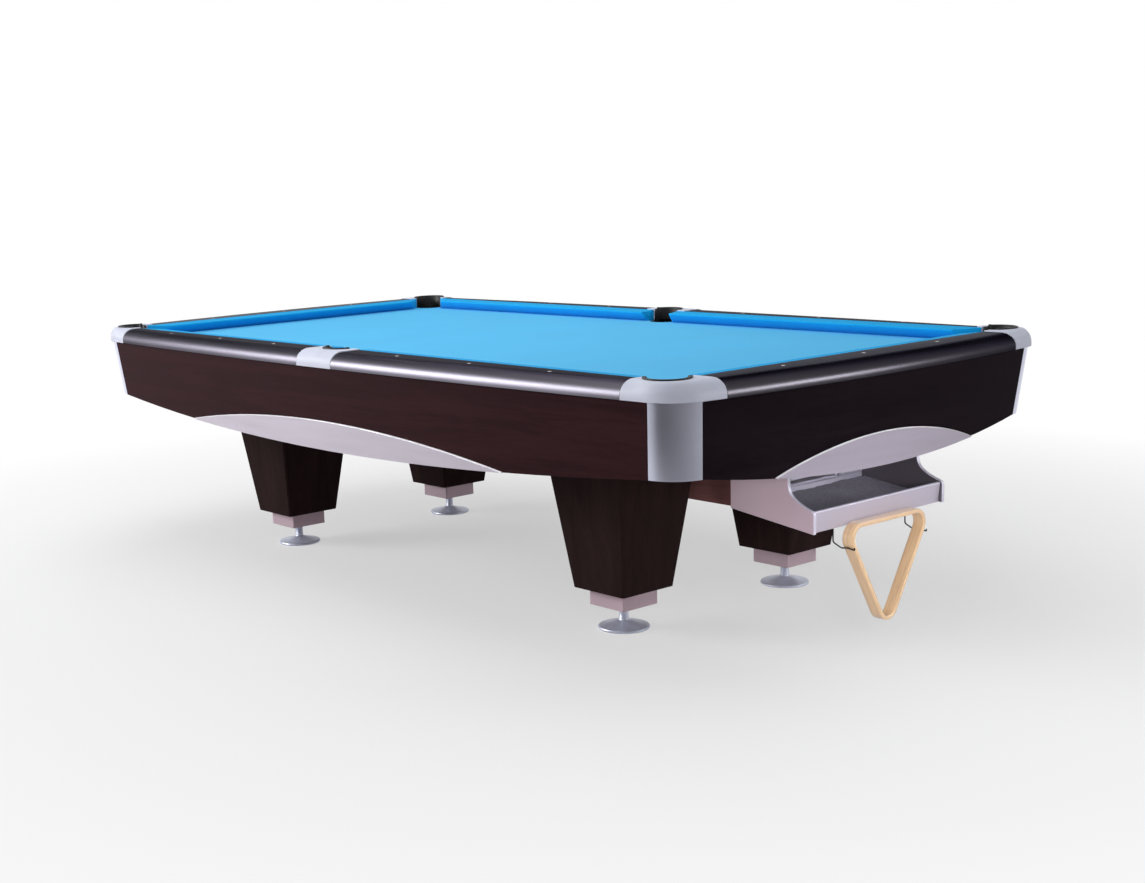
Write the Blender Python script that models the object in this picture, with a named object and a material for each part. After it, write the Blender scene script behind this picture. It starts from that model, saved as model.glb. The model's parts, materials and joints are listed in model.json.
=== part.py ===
"""Nine-foot pool table with bowed rails, cast pocket caps, a ball box and a hanging triangle rack.

Metres, +Z up. X runs along the table, with the ball box at +X (the foot end). Y runs across it, and
-Y is the right side. The origin is on the floor under the middle of the bed.
"""

from math import acos, asin, atan, atan2, cos, hypot, pi, radians, sin, sqrt

import bmesh
import bpy
from mathutils import Matrix, Vector

# Clearance between pieces that touch.
GAP = 0.0003

# Playing field, nose to nose, and the stack of the bed.
PLAY_LENGTH = 2.540
PLAY_WIDTH = 1.270
BED_HEIGHT = 0.734
CLOTH_THICKNESS = 0.001
SLATE_THICKNESS = 0.025
SLATE_MARGIN = 0.070
MIDDLE_SLATE_LENGTH = 0.896

# Cushions.
CUSHION_WIDTH = 0.051
NOSE_HEIGHT = 0.0355
NOSE_ROUND = 0.003
CUSHION_UNDERCUT = 0.022
JAW_GAP = 0.001

# Rails: from the nose lines out to the outline at the corners, and how far the sides and ends bow out.
END_RAIL_WIDTH = 0.135
SIDE_RAIL_WIDTH = 0.117
END_BOW = 0.050
SIDE_BOW = 0.045
CORNER_RADIUS = 0.110
RAIL_RISE = 0.036
RAIL_SKIRT = 0.0095
BULLNOSE_WIDTH = 0.046
BULLNOSE_HEIGHT = 0.038
BULLNOSE_MOST = 0.7

# Pocket caps. The arms are measured from the outline's square corner.
CAP_ARM_SIDE = 0.169
CAP_ARM_END = 0.159
SIDE_CAP_WIDTH = 0.176
CAP_PROUD = 0.003

# Pockets. The offsets are from the nose lines to the middle of each hole.
CORNER_MOUTH = 0.117
CORNER_OFFSET = 0.038
CORNER_HOLE = 0.056
SIDE_MOUTH = 0.127
SIDE_OFFSET = 0.055
SIDE_HOLE = 0.054
SLATE_HOLE_MARGIN = 0.003
LINER_WALL = 0.005
LINER_LIP = 0.0035
LINER_LIP_HEIGHT = 0.005
LINER_THROAT = 0.046
LINER_DEPTH = 0.112
LINER_FUNNEL_TOP = 0.018
LINER_FUNNEL_BOTTOM = 0.055
LINER_FRONT_DROP = 0.003
CORNER_FRONT_ANGLE = 75
SIDE_FRONT_BACK = 0.007

# Aprons, posts and accent panels.
APRON_HEIGHT = 0.191
APRON_THICKNESS = 0.018
APRON_INSET = 0.009
APRON_LEAN = 0.10
SIDE_BELLY = 0.060
END_BELLY = 0.050
POST_WALL = 0.008
POST_REVEAL = 0.0008
ACCENT_THICKNESS = 0.005
ACCENT_BEVEL = 0.0025
ACCENT_TIP = 0.003
SIDE_ACCENT_LENGTH = 1.600
SIDE_ACCENT_HEIGHT = 0.090
END_ACCENT_LENGTH = 0.840
END_ACCENT_HEIGHT = 0.092

# Frame: the long beams stand out from the legs' middles, the end beams in from the nose lines.
FRAME_DEPTH = 0.157
BEAM_WIDTH = 0.070
BEAM_OUTSET = 0.106
END_BEAM_WIDTH = 0.045
END_BEAM_INSET = 0.120
END_BEAM_MARGIN = 0.015

# Legs, in from the nose lines, with their plinths and feet.
LEG_INSET_X = 0.456
LEG_INSET_Y = 0.291
LEG_TOP = 0.310
LEG_BOTTOM = 0.197
LEG_CHAMFER = 0.005
PLINTH_WIDTH = 0.134
PLINTH_HEIGHT = 0.050
PLINTH_BOTTOM = 0.068
FOOT_RADIUS = 0.0725
FOOT_RIM = 0.008
FOOT_DOME = 0.015
FOOT_NECK = 0.021
FOOT_EDGE = 0.002
FOOT_SLOPE = 0.385
STEM_RADIUS = 0.013
STEM_CLEARANCE = 0.0005
STEM_ENGAGEMENT = 0.030

# Ball box and its chute, which hang from the frame.
BOX_WIDTH = 0.550
BOX_BEHIND = 0.003
BOX_PROUD = 0.008
BOX_DROP = 0.2086
BOX_FALL = 0.0335
BOX_FLOOR = 0.010
BOX_CHEEK = 0.012
BOX_LIP_HEIGHT = 0.057
BOX_LIP_WALL = 0.012
BOX_LIP_LEAN = 0.009
BOX_SILL = 0.012
BOX_SILL_HEIGHT = 0.022
BOX_HEADER = 0.018
BOX_HEADER_DROP = 0.0821
BOX_SWEEP = 0.073
BOX_SHOULDER_DROP = 0.0871
CHEEK_SWEEP = 0.6
CHUTE_LENGTH = 0.547
CHUTE_CLEARANCE = 0.019
CHUTE_WALL = 0.012
CHUTE_DROP = 0.1981
CHUTE_STEP = 0.005

# Triangle rack and the wire that holds it.
BALL = 0.05715
RACK_WALL = 0.012
RACK_DEPTH = 0.0335
RACK_CLEARANCE = 0.003
RACK_OVERLAP = 0.0105
WIRE_RADIUS = 0.002
WIRE_SETBACK = 0.028
WIRE_BEND = 0.006
HOOK_CROWN = 0.0035
HOOK_CLEARANCE = 0.0015
HOOK_TIP = 0.006
WIRE_STRAIGHT = 0.48

# Facets, and the angle from which an edge is drawn sharp.
RAIL_STATIONS = 13
CAP_STATIONS = 18
CHEEK_STEPS = 9
BULLNOSE_STEPS = 6
APRON_STATIONS = 21
POST_STATIONS = 11
ROUND_STEPS = 28
POCKET_STEPS = 16
RACK_STEPS = 8
BEND_STEPS = 4
SHARP_ANGLE = 35

# Levels and lines that follow from the sizes above.
SLATE_TOP = BED_HEIGHT - CLOTH_THICKNESS - GAP
SLATE_BOTTOM = SLATE_TOP - SLATE_THICKNESS
FRAME_TOP = SLATE_BOTTOM - GAP
FRAME_BOTTOM = FRAME_TOP - FRAME_DEPTH
SEAT = BED_HEIGHT + GAP
RAIL_TOP = BED_HEIGHT + RAIL_RISE
RAIL_BOTTOM = BED_HEIGHT - RAIL_SKIRT
CAP_TOP = RAIL_TOP + CAP_PROUD
APRON_TOP = RAIL_BOTTOM - GAP
APRON_BOTTOM = APRON_TOP - APRON_HEIGHT
NOSE_X = PLAY_LENGTH / 2
NOSE_Y = PLAY_WIDTH / 2
CORNER_X = NOSE_X + END_RAIL_WIDTH
CORNER_Y = NOSE_Y + SIDE_RAIL_WIDTH
RAIL_X = NOSE_X + CUSHION_WIDTH + GAP
RAIL_Y = NOSE_Y + CUSHION_WIDTH + GAP
SLATE_X = NOSE_X + SLATE_MARGIN
SLATE_Y = NOSE_Y + SLATE_MARGIN
SLATE_JOINT = MIDDLE_SLATE_LENGTH / 2
POCKET_X = NOSE_X + CORNER_OFFSET
POCKET_Y = NOSE_Y + CORNER_OFFSET
SIDE_POCKET_Y = NOSE_Y + SIDE_OFFSET
SEAM_X = CORNER_X - CAP_ARM_SIDE
SEAM_Y = CORNER_Y - CAP_ARM_END
UNDER_FRAME = FRAME_BOTTOM - GAP
LEG_FOOT = PLINTH_BOTTOM + PLINTH_HEIGHT + GAP
LEG_X = NOSE_X - LEG_INSET_X
LEG_Y = NOSE_Y - LEG_INSET_Y
BEAM_Y = LEG_Y + BEAM_OUTSET
END_BEAM_X = NOSE_X - END_BEAM_INSET
END_BEAM_LENGTH = PLAY_WIDTH - 2 * END_BEAM_MARGIN
BOX_BACK = END_BEAM_X - BOX_BEHIND
BOX_FRONT = CORNER_X + BOX_PROUD
BOX_FRONT_BOTTOM = UNDER_FRAME - BOX_DROP
BOX_BACK_BOTTOM = BOX_FRONT_BOTTOM + BOX_FALL
BOX_HEADER_BOTTOM = UNDER_FRAME - BOX_HEADER_DROP
BOX_MOUTH_X = BOX_FRONT - BOX_SWEEP
BOX_SHOULDER = UNDER_FRAME - BOX_SHOULDER_DROP
CHUTE_START = BOX_BACK - CHUTE_LENGTH
CHUTE_WIDTH = 2 * (LEG_Y - LEG_TOP / 2 - CHUTE_CLEARANCE)
CHUTE_BOTTOM = UNDER_FRAME - CHUTE_DROP
CHUTE_FLOOR = BOX_BACK_BOTTOM + BOX_SILL_HEIGHT + CHUTE_STEP - CHUTE_WALL
RACK_BACK = BOX_FRONT + RACK_CLEARANCE
RACK_TOP = BOX_FRONT_BOTTOM + RACK_OVERLAP
WIRE_RUN_X = BOX_FRONT - WIRE_SETBACK
RACK_SIDE = 4 * BALL
RACK_CENTRE = RACK_TOP - BALL / 2 - RACK_WALL

ENDS = {"head": -1, "foot": 1}
SIDES = {"right": -1, "left": 1}


def finish(name, colour, roughness, metallic=0.0):
    """A plain material: colour, roughness and how metallic it is."""
    material = bpy.data.materials.new(name)
    material.use_nodes = True
    shader = material.node_tree.nodes["Principled BSDF"]
    shader.inputs["Base Color"].default_value = (*colour, 1.0)
    shader.inputs["Roughness"].default_value = roughness
    shader.inputs["Metallic"].default_value = metallic
    return material


def add_mesh(name, mesh_builder, material):
    """Turns a bmesh into a named object with outward faces."""
    bmesh.ops.recalc_face_normals(mesh_builder, faces=mesh_builder.faces)
    mesh = bpy.data.meshes.new(name)
    mesh_builder.to_mesh(mesh)
    mesh_builder.free()
    mesh.shade_smooth()
    mesh.set_sharp_from_angle(angle=radians(SHARP_ANGLE))
    mesh.materials.append(material)
    piece = bpy.data.objects.new(name, mesh)
    bpy.context.scene.collection.objects.link(piece)
    return piece


def loft(name, sections, material, closed=False):
    """Skins a row of like sections. An open row is capped, a closed one joins its last to its first."""
    built = bmesh.new()
    rings = [[built.verts.new(point) for point in section] for section in sections]
    count = len(rings[0])
    pairs = list(zip(rings, rings[1:]))
    if closed:
        pairs.append((rings[-1], rings[0]))
    for one, two in pairs:
        for i in range(count):
            j = (i + 1) % count
            built.faces.new((one[i], one[j], two[j], two[i]))
    if not closed:
        built.faces.new(rings[0])
        built.faces.new(rings[-1])
    return add_mesh(name, built, material)


def prism(name, outline, low, high, material):
    """An outline in plan, raised from one level to another."""
    sections = [[(x, y, z) for x, y in outline] for z in (low, high)]
    return loft(name, sections, material)


def block(name, x_range, y_range, z_range, material):
    """A box between three pairs of levels."""
    (x0, x1), (y0, y1) = x_range, y_range
    outline = [(x0, y0), (x1, y0), (x1, y1), (x0, y1)]
    return prism(name, outline, *z_range, material)


def across(name, outline, y_range, material):
    """An outline in X and Z, carried from one Y to another."""
    sections = [[(x, y, z) for x, z in outline] for y in y_range]
    return loft(name, sections, material)


def turned(name, profile, centre, material):
    """A solid of revolution from (radius, height) points, bottom to top."""
    sections = []
    for radius, height in profile:
        ring = arc(centre[0], centre[1], radius, 0.0, 2 * pi, ROUND_STEPS)[:-1]
        sections.append([(x, y, height) for x, y in ring])
    return loft(name, sections, material)


def arc(cx, cy, radius, start, end, steps):
    """Points along a circular arc, both ends included."""
    angles = [start + (end - start) * i / steps for i in range(steps + 1)]
    return [(cx + radius * cos(a), cy + radius * sin(a)) for a in angles]


def spread(start, end, count):
    """Evenly spaced values, both ends included."""
    return [start + (end - start) * i / (count - 1) for i in range(count)]


def cut(piece, name, outline, low, high):
    """Takes a raised outline out of a piece."""
    cutter = prism(name, outline, low, high, piece.data.materials[0])
    cutter.hide_render = True
    cutter.display_type = "WIRE"
    modifier = piece.modifiers.new(name, "BOOLEAN")
    modifier.operation = "DIFFERENCE"
    modifier.solver = "EXACT"
    modifier.object = cutter


def join(piece, others):
    """Fuses overlapping solids into one piece."""
    for other in others:
        other.hide_render = True
        other.display_type = "WIRE"
        modifier = piece.modifiers.new(other.name, "BOOLEAN")
        modifier.operation = "UNION"
        modifier.solver = "EXACT"
        modifier.object = other


def set_pivot(piece, place):
    """Puts the origin of a moving piece on its axis."""
    piece.data.transform(Matrix.Translation(-Vector(place)))
    piece.location = place


def mirrored(points, x_sign, y_sign):
    """The same points in another quarter of the table."""
    return [(x * x_sign, y * y_sign, *rest) for x, y, *rest in points]


def side_y(x):
    """Outer edge of a side rail: the widest point less the bow."""
    return CORNER_Y + SIDE_BOW * (1 - (x / CORNER_X) ** 2)


def end_x(y):
    """Outer edge of an end rail."""
    return CORNER_X + END_BOW * (1 - (y / CORNER_Y) ** 2)


def side_lean(x):
    """How far a side's edge turns from the X direction, as an angle."""
    return atan(2 * SIDE_BOW * x / CORNER_X**2)


def end_lean(y):
    """How far an end's edge turns from the Y direction, as an angle."""
    return atan(2 * END_BOW * y / CORNER_Y**2)


def corner_arc():
    """Centre and end angles of the rounding that meets both bowed edges smoothly."""
    x, y = CORNER_X - CORNER_RADIUS, CORNER_Y - CORNER_RADIUS
    for _ in range(30):
        centre_x = end_x(y) - CORNER_RADIUS * cos(end_lean(y))
        centre_y = side_y(x) - CORNER_RADIUS * cos(side_lean(x))
        x = centre_x + CORNER_RADIUS * sin(side_lean(x))
        y = centre_y + CORNER_RADIUS * sin(end_lean(y))
    return centre_x, centre_y, end_lean(y), pi / 2 - side_lean(x)


ARC_X, ARC_Y, ARC_END_ANGLE, ARC_SIDE_ANGLE = corner_arc()
TANGENT_X = ARC_X + CORNER_RADIUS * cos(ARC_SIDE_ANGLE)
TANGENT_Y = ARC_Y + CORNER_RADIUS * sin(ARC_END_ANGLE)


def inside_outline(x, y):
    """True within the rounded, bowed outline of the rails, in the first quarter."""
    if x > TANGENT_X and y > TANGENT_Y:
        return hypot(x - ARC_X, y - ARC_Y) < CORNER_RADIUS
    return y < side_y(x) and x < end_x(y)


def outline_from(x, y, angle):
    """Where a ray leaves the outline, found by halving."""
    near, far = 0.0, PLAY_WIDTH
    for _ in range(50):
        middle = (near + far) / 2
        if inside_outline(x + middle * cos(angle), y + middle * sin(angle)):
            near = middle
        else:
            far = middle
    return x + near * cos(angle), y + near * sin(angle)


def rail_section(inner, step, outer, top):
    """Section of a rail or cap: skirt, bullnose, flat top, inner face and the ledge on the slate."""
    (ix, iy), (sx, sy), (ox, oy) = inner, step, outer
    width = hypot(ox - ix, oy - iy)
    share = min(BULLNOSE_WIDTH / width, BULLNOSE_MOST)
    section = [(ox, oy, RAIL_BOTTOM)]
    for i in range(BULLNOSE_STEPS + 1):
        turn = pi / 2 * i / BULLNOSE_STEPS
        along = share * (1 - cos(turn))
        height = top - BULLNOSE_HEIGHT * (1 - sin(turn))
        section.append((ox + (ix - ox) * along, oy + (iy - oy) * along, height))
    section += [(ix, iy, top), (ix, iy, SEAT), (sx, sy, SEAT), (sx, sy, RAIL_BOTTOM)]
    return section


def side_rail(name, x_sign, y_sign, material):
    """One half of a long rail, from the side cap to the corner cap."""
    start = SIDE_CAP_WIDTH / 2 + GAP
    sections = []
    for x in spread(start, SEAM_X - GAP, RAIL_STATIONS):
        points = rail_section((x, RAIL_Y), (x, SLATE_Y + GAP), (x, side_y(x)), RAIL_TOP)
        sections.append(mirrored(points, x_sign, y_sign))
    return loft(name, sections, material)


def end_rail(name, x_sign, material):
    """A head or foot rail, between two corner caps."""
    reach = SEAM_Y - GAP
    sections = []
    for y in spread(-reach, reach, RAIL_STATIONS):
        points = rail_section((RAIL_X, y), (SLATE_X + GAP, y), (end_x(y), y), RAIL_TOP)
        sections.append(mirrored(points, x_sign, 1))
    return loft(name, sections, material)


def hole_wall(centre, hole, start, end):
    """Facets of a pocket hole's wall, laid outside its circle, each with its turn."""
    angles = spread(start, end, CAP_STATIONS)
    radius = hole / cos((angles[0] - angles[1]) / 2)
    return [(a, (centre[0] + radius * cos(a), centre[1] + radius * sin(a))) for a in angles]


def ledge_edge(inner, angle):
    """Where a cap's skirt starts: behind the pocket hole, or past the slate's edge where there is slate."""
    x, y = inner
    behind = 2 * SLATE_HOLE_MARGIN
    back_x, back_y = x + behind * cos(angle), y + behind * sin(angle)
    if back_x > SLATE_X + GAP or back_y > SLATE_Y + GAP:
        return back_x, back_y
    if angle > pi / 4:
        return x, SLATE_Y + GAP
    return SLATE_X + GAP, y


def corner_cap(name, x_sign, y_sign, material):
    """Casting round a corner pocket, with an arm along each rail."""
    side_reach = sqrt(CORNER_HOLE**2 - (RAIL_Y - POCKET_Y) ** 2)
    end_reach = sqrt(CORNER_HOLE**2 - (RAIL_X - POCKET_X) ** 2)
    hole_start = atan2(RAIL_Y - POCKET_Y, -side_reach)
    hole_end = atan2(-end_reach, RAIL_X - POCKET_X)
    mouth_x, mouth_y = POCKET_X - side_reach, POCKET_Y - end_reach
    ray_start = atan2(side_y(mouth_x) - POCKET_Y, mouth_x - POCKET_X)
    ray_end = atan2(mouth_y - POCKET_Y, end_x(mouth_y) - POCKET_X)
    sections = [
        rail_section((SEAM_X, RAIL_Y), (SEAM_X, SLATE_Y + GAP), (SEAM_X, side_y(SEAM_X)), CAP_TOP)
    ]
    wall = hole_wall((POCKET_X, POCKET_Y), CORNER_HOLE, hole_start, hole_end)
    for (turn, inner), ray in zip(wall, spread(ray_start, ray_end, CAP_STATIONS)):
        outer = outline_from(POCKET_X, POCKET_Y, ray)
        sections.append(rail_section(inner, ledge_edge(inner, turn), outer, CAP_TOP))
    sections.append(
        rail_section((RAIL_X, SEAM_Y), (SLATE_X + GAP, SEAM_Y), (end_x(SEAM_Y), SEAM_Y), CAP_TOP)
    )
    return loft(name, [mirrored(points, x_sign, y_sign) for points in sections], material)


def side_cap(name, y_sign, material):
    """Casting behind a side pocket."""
    half = SIDE_CAP_WIDTH / 2
    drop = SIDE_POCKET_Y - RAIL_Y
    reach = sqrt(SIDE_HOLE**2 - drop**2)
    start = pi + atan2(drop, reach)
    sections = [rail_section((-half, RAIL_Y), (-half, SLATE_Y + GAP), (-half, side_y(half)), CAP_TOP)]
    wall = hole_wall((0.0, SIDE_POCKET_Y), SIDE_HOLE, start, pi - start)
    for (turn, inner), x in zip(wall, spread(-reach, reach, CAP_STATIONS)):
        step_y = max(SLATE_Y + GAP, inner[1] + 2 * SLATE_HOLE_MARGIN * sin(turn))
        sections.append(rail_section(inner, (inner[0], step_y), (x, side_y(x)), CAP_TOP))
    sections.append(rail_section((half, RAIL_Y), (half, SLATE_Y + GAP), (half, side_y(half)), CAP_TOP))
    return loft(name, [mirrored(points, 1, y_sign) for points in sections], material)


def cushion_profile():
    """Cushion section as (distance behind the nose, height): flat top, round nose, undercut."""
    nose = BED_HEIGHT + NOSE_HEIGHT
    return [
        (CUSHION_WIDTH, SEAT),
        (CUSHION_UNDERCUT, SEAT),
        (NOSE_ROUND, nose - 2 * NOSE_ROUND),
        (0.0, nose - NOSE_ROUND / 2),
        (NOSE_ROUND / 3, nose + NOSE_ROUND / 2),
        (2 * NOSE_ROUND, nose + NOSE_ROUND),
        (CUSHION_WIDTH, RAIL_TOP),
    ]


# Where each cushion ends, at its nose and at its back.
CORNER_NOSE_X = NOSE_X - CORNER_MOUTH / sqrt(2)
CORNER_NOSE_Y = NOSE_Y - CORNER_MOUTH / sqrt(2)
CORNER_BACK_X = POCKET_X - sqrt(CORNER_HOLE**2 - (RAIL_Y - POCKET_Y) ** 2) - JAW_GAP
CORNER_BACK_Y = POCKET_Y - sqrt(CORNER_HOLE**2 - (RAIL_X - POCKET_X) ** 2) - JAW_GAP
SIDE_BACK_X = sqrt(SIDE_HOLE**2 - (SIDE_POCKET_Y - RAIL_Y) ** 2) + JAW_GAP


def side_cushion(name, x_sign, y_sign, material):
    """Cushion of one half of a long rail, with its two angled pocket faces."""
    sections = [[], []]
    for back, height in cushion_profile():
        share = back / CUSHION_WIDTH
        side_end = SIDE_MOUTH / 2 + (SIDE_BACK_X - SIDE_MOUTH / 2) * share
        corner_end = CORNER_NOSE_X + (CORNER_BACK_X - CORNER_NOSE_X) * share
        sections[0].append((side_end, NOSE_Y + back, height))
        sections[1].append((corner_end, NOSE_Y + back, height))
    return loft(name, [mirrored(points, x_sign, y_sign) for points in sections], material)


def end_cushion(name, x_sign, material):
    """Cushion of a head or foot rail."""
    sections = [[], []]
    for back, height in cushion_profile():
        share = back / CUSHION_WIDTH
        reach = CORNER_NOSE_Y + (CORNER_BACK_Y - CORNER_NOSE_Y) * share
        sections[0].append((NOSE_X + back, -reach, height))
        sections[1].append((NOSE_X + back, reach, height))
    return loft(name, [mirrored(points, x_sign, 1) for points in sections], material)


def corner_notch():
    """Round cut at a corner of the bed, from its end edge round to its side edge."""
    radius = CORNER_HOLE + SLATE_HOLE_MARGIN
    end_y = -sqrt(radius**2 - (SLATE_X - POCKET_X) ** 2)
    side_x = -sqrt(radius**2 - (SLATE_Y - POCKET_Y) ** 2)
    start = atan2(end_y, SLATE_X - POCKET_X)
    end = atan2(SLATE_Y - POCKET_Y, side_x) - 2 * pi
    return arc(POCKET_X, POCKET_Y, radius, start, end, POCKET_STEPS)


def side_notch():
    """Round cut at the middle of the bed's long edge, from +X to -X."""
    radius = SIDE_HOLE + SLATE_HOLE_MARGIN
    rise = SLATE_Y - SIDE_POCKET_Y
    start = atan2(rise, sqrt(radius**2 - rise**2))
    return arc(0.0, SIDE_POCKET_Y, radius, start, -pi - start, POCKET_STEPS)


def end_slate_outline(x_sign):
    """Outline of a head or foot slate."""
    corner = corner_notch()
    start = SLATE_JOINT + GAP / 2
    points = mirrored(corner, 1, -1)[::-1] + corner
    points = [(start, -SLATE_Y)] + points + [(start, SLATE_Y)]
    return mirrored(points, x_sign, 1)


def middle_slate_outline():
    """Outline of the middle slate, with a notch for each side pocket."""
    reach = SLATE_JOINT - GAP / 2
    notch = side_notch()
    points = [(reach, SLATE_Y)] + notch + [(-reach, SLATE_Y), (-reach, -SLATE_Y)]
    return points + mirrored(notch, 1, -1)[::-1] + [(reach, -SLATE_Y)]


def cloth_outline():
    """Outline of the bed cloth: the whole bed with its six cuts."""
    corner, notch = corner_notch(), side_notch()
    half = corner + notch + mirrored(corner, -1, 1)[::-1]
    return half + mirrored(half, -1, -1)


def bed(slate, cloth):
    """Three slates and the cloth over them."""
    prism("slate_head", end_slate_outline(-1), SLATE_BOTTOM, SLATE_TOP, slate)
    prism("slate_middle", middle_slate_outline(), SLATE_BOTTOM, SLATE_TOP, slate)
    prism("slate_foot", end_slate_outline(1), SLATE_BOTTOM, SLATE_TOP, slate)
    prism("bed_cloth", cloth_outline(), BED_HEIGHT - CLOTH_THICKNESS, BED_HEIGHT, cloth)


def liner_profile(hole):
    """Wall of a pocket liner as (radius, height): funnel below, lip on top."""
    outer = hole - GAP
    inner = outer - LINER_WALL
    throat = LINER_THROAT - LINER_WALL
    bottom = BED_HEIGHT - LINER_DEPTH
    funnel_low = BED_HEIGHT - LINER_FUNNEL_BOTTOM
    funnel_high = BED_HEIGHT - LINER_FUNNEL_TOP
    lip = CAP_TOP + GAP
    lip_top = CAP_TOP + LINER_LIP_HEIGHT
    edge = LINER_WALL / 4
    return [
        (throat, bottom),
        (LINER_THROAT, bottom),
        (LINER_THROAT, funnel_low),
        (outer, funnel_high),
        (outer, lip),
        (outer + LINER_LIP, lip),
        (outer + LINER_LIP, lip_top - edge),
        (outer + LINER_LIP - edge, lip_top),
        (inner + edge, lip_top),
        (inner, lip_top - edge),
        (inner, funnel_high),
        (throat, funnel_low),
    ]


def liner(name, centre, hole, front, material):
    """Pocket liner: a turned wall with its front cut down below the cloth."""
    sections = []
    for i in range(ROUND_STEPS):
        turn = 2 * pi * i / ROUND_STEPS
        ring = liner_profile(hole)
        sections.append([(centre[0] + r * cos(turn), centre[1] + r * sin(turn), z) for r, z in ring])
    piece = loft(name, sections, material, closed=True)
    cut(piece, name + "_front", front, BED_HEIGHT - LINER_FRONT_DROP, CAP_TOP + 2 * LINER_LIP_HEIGHT)


def corner_liner(name, x_sign, y_sign, material):
    """Liner of a corner pocket, open towards the bed."""
    reach = 2 * CORNER_HOLE
    diagonal, spread_angle = pi + pi / 4, radians(CORNER_FRONT_ANGLE)
    angles = [diagonal - spread_angle, diagonal, diagonal + spread_angle]
    front = [(POCKET_X, POCKET_Y)]
    front += [(POCKET_X + reach * cos(a), POCKET_Y + reach * sin(a)) for a in angles]
    centre = (POCKET_X * x_sign, POCKET_Y * y_sign)
    liner(name, centre, CORNER_HOLE, mirrored(front, x_sign, y_sign), material)


def side_liner(name, y_sign, material):
    """Liner of a side pocket, open towards the bed."""
    reach = 2 * SIDE_HOLE
    back = SIDE_POCKET_Y + SIDE_FRONT_BACK
    front = [(-reach, back), (-reach, back - reach), (reach, back - reach), (reach, back)]
    liner(name, (0.0, SIDE_POCKET_Y * y_sign), SIDE_HOLE, mirrored(front, 1, y_sign), material)


def lean(z):
    """How far the cabinet has leaned in at a level, from its top edge down."""
    return APRON_LEAN * (APRON_TOP - z)


def inset(z):
    """How far an apron's face stands in from the outline at a level."""
    return APRON_INSET + lean(z)


def belly(share, depth):
    """Lower edge of an apron, deepest in its middle. share runs from 0 there to 1 at its end."""
    return APRON_BOTTOM - depth * (1 - share**2)


def arch(share, tip, peak):
    """Upper edge of an accent panel, highest in its middle and falling to its tips."""
    return peak - (peak - tip) * share**2


def panel_section(share, reach, edge, corners):
    """Section of a leaning panel as (along, out, height), from (height, depth behind the face) corners."""
    return [(share * (reach - lean(z)), edge - inset(z) - depth, z) for z, depth in corners]


def apron_sections(reach, edge, depth):
    """Sections of an apron from one end to the other. edge gives the outline at a distance along it."""
    sections = []
    for share in spread(-1.0, 1.0, APRON_STATIONS):
        low = belly(share, depth)
        corners = [(APRON_TOP, 0.0), (low, 0.0), (low, APRON_THICKNESS), (APRON_TOP, APRON_THICKNESS)]
        sections.append(panel_section(share, reach, edge(share * reach), corners))
    return sections


def accent_sections(reach, edge, depth, length, height):
    """Sections of a lens panel on an apron's face: the belly below, an arch above, its top edge bevelled."""
    half = length / 2 / reach
    tip = belly(half, depth) + ACCENT_TIP
    peak = belly(0.0, depth) + height
    face, bevel = -GAP - ACCENT_THICKNESS, ACCENT_BEVEL
    sections = []
    for share in spread(-half, half, APRON_STATIONS):
        low, high = belly(share, depth), arch(share / half, tip, peak)
        corners = [(low, -GAP), (low, face), (high - bevel, face), (high, face + bevel), (high, -GAP)]
        sections.append(panel_section(share, reach, edge(share * reach), corners))
    return sections


def side_panels(side, y_sign, panel, accent):
    """Apron and lens panel under a long side."""
    reach = TANGENT_X - POST_REVEAL
    apron = apron_sections(reach, side_y, SIDE_BELLY)
    lens = accent_sections(reach, side_y, SIDE_BELLY, SIDE_ACCENT_LENGTH, SIDE_ACCENT_HEIGHT)
    loft(side + "_apron", [mirrored(points, 1, y_sign) for points in apron], panel)
    loft(side + "_accent_panel", [mirrored(points, 1, y_sign) for points in lens], accent)


def end_panels(end, x_sign, panel, accent):
    """Apron and lens panel under the head or foot end."""
    reach = TANGENT_Y - POST_REVEAL
    apron = apron_sections(reach, end_x, END_BELLY)
    lens = accent_sections(reach, end_x, END_BELLY, END_ACCENT_LENGTH, END_ACCENT_HEIGHT)
    loft(end + "_apron", [[(x * x_sign, y, z) for y, x, z in points] for points in apron], panel)
    loft(end + "_accent_panel", [[(x * x_sign, y, z) for y, x, z in points] for points in lens], accent)


def corner_post(name, x_sign, y_sign, material):
    """Curved corner trim between two aprons: one radius all the way down, leaning in as they do."""
    rows = []
    for z, wall in ((APRON_TOP, 0), (APRON_BOTTOM, 0), (APRON_BOTTOM, 1), (APRON_TOP, 1)):
        radius = CORNER_RADIUS - APRON_INSET - POST_WALL * wall
        start = acos((TANGENT_X - ARC_X) / radius)
        end = asin((TANGENT_Y - ARC_Y) / radius)
        row = arc(ARC_X - lean(z), ARC_Y - lean(z), radius, start, end, POST_STATIONS - 1)
        rows.append(mirrored([(x, y, z) for x, y in row], x_sign, y_sign))
    return loft(name, list(zip(*rows)), material)


def frame(material):
    """Two long beams on the legs, and an end beam across each end of them."""
    inner = END_BEAM_X - END_BEAM_WIDTH / 2
    levels = (FRAME_BOTTOM, FRAME_TOP)
    for side, y_sign in SIDES.items():
        y = BEAM_Y * y_sign
        y_range = (y - BEAM_WIDTH / 2, y + BEAM_WIDTH / 2)
        block(side + "_frame_beam", (GAP - inner, inner - GAP), y_range, levels, material)
    for end, x_sign in ENDS.items():
        x = END_BEAM_X * x_sign
        x_range = (x - END_BEAM_WIDTH / 2, x + END_BEAM_WIDTH / 2)
        y_range = (-END_BEAM_LENGTH / 2, END_BEAM_LENGTH / 2)
        block(end + "_frame_beam", x_range, y_range, levels, material)


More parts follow.
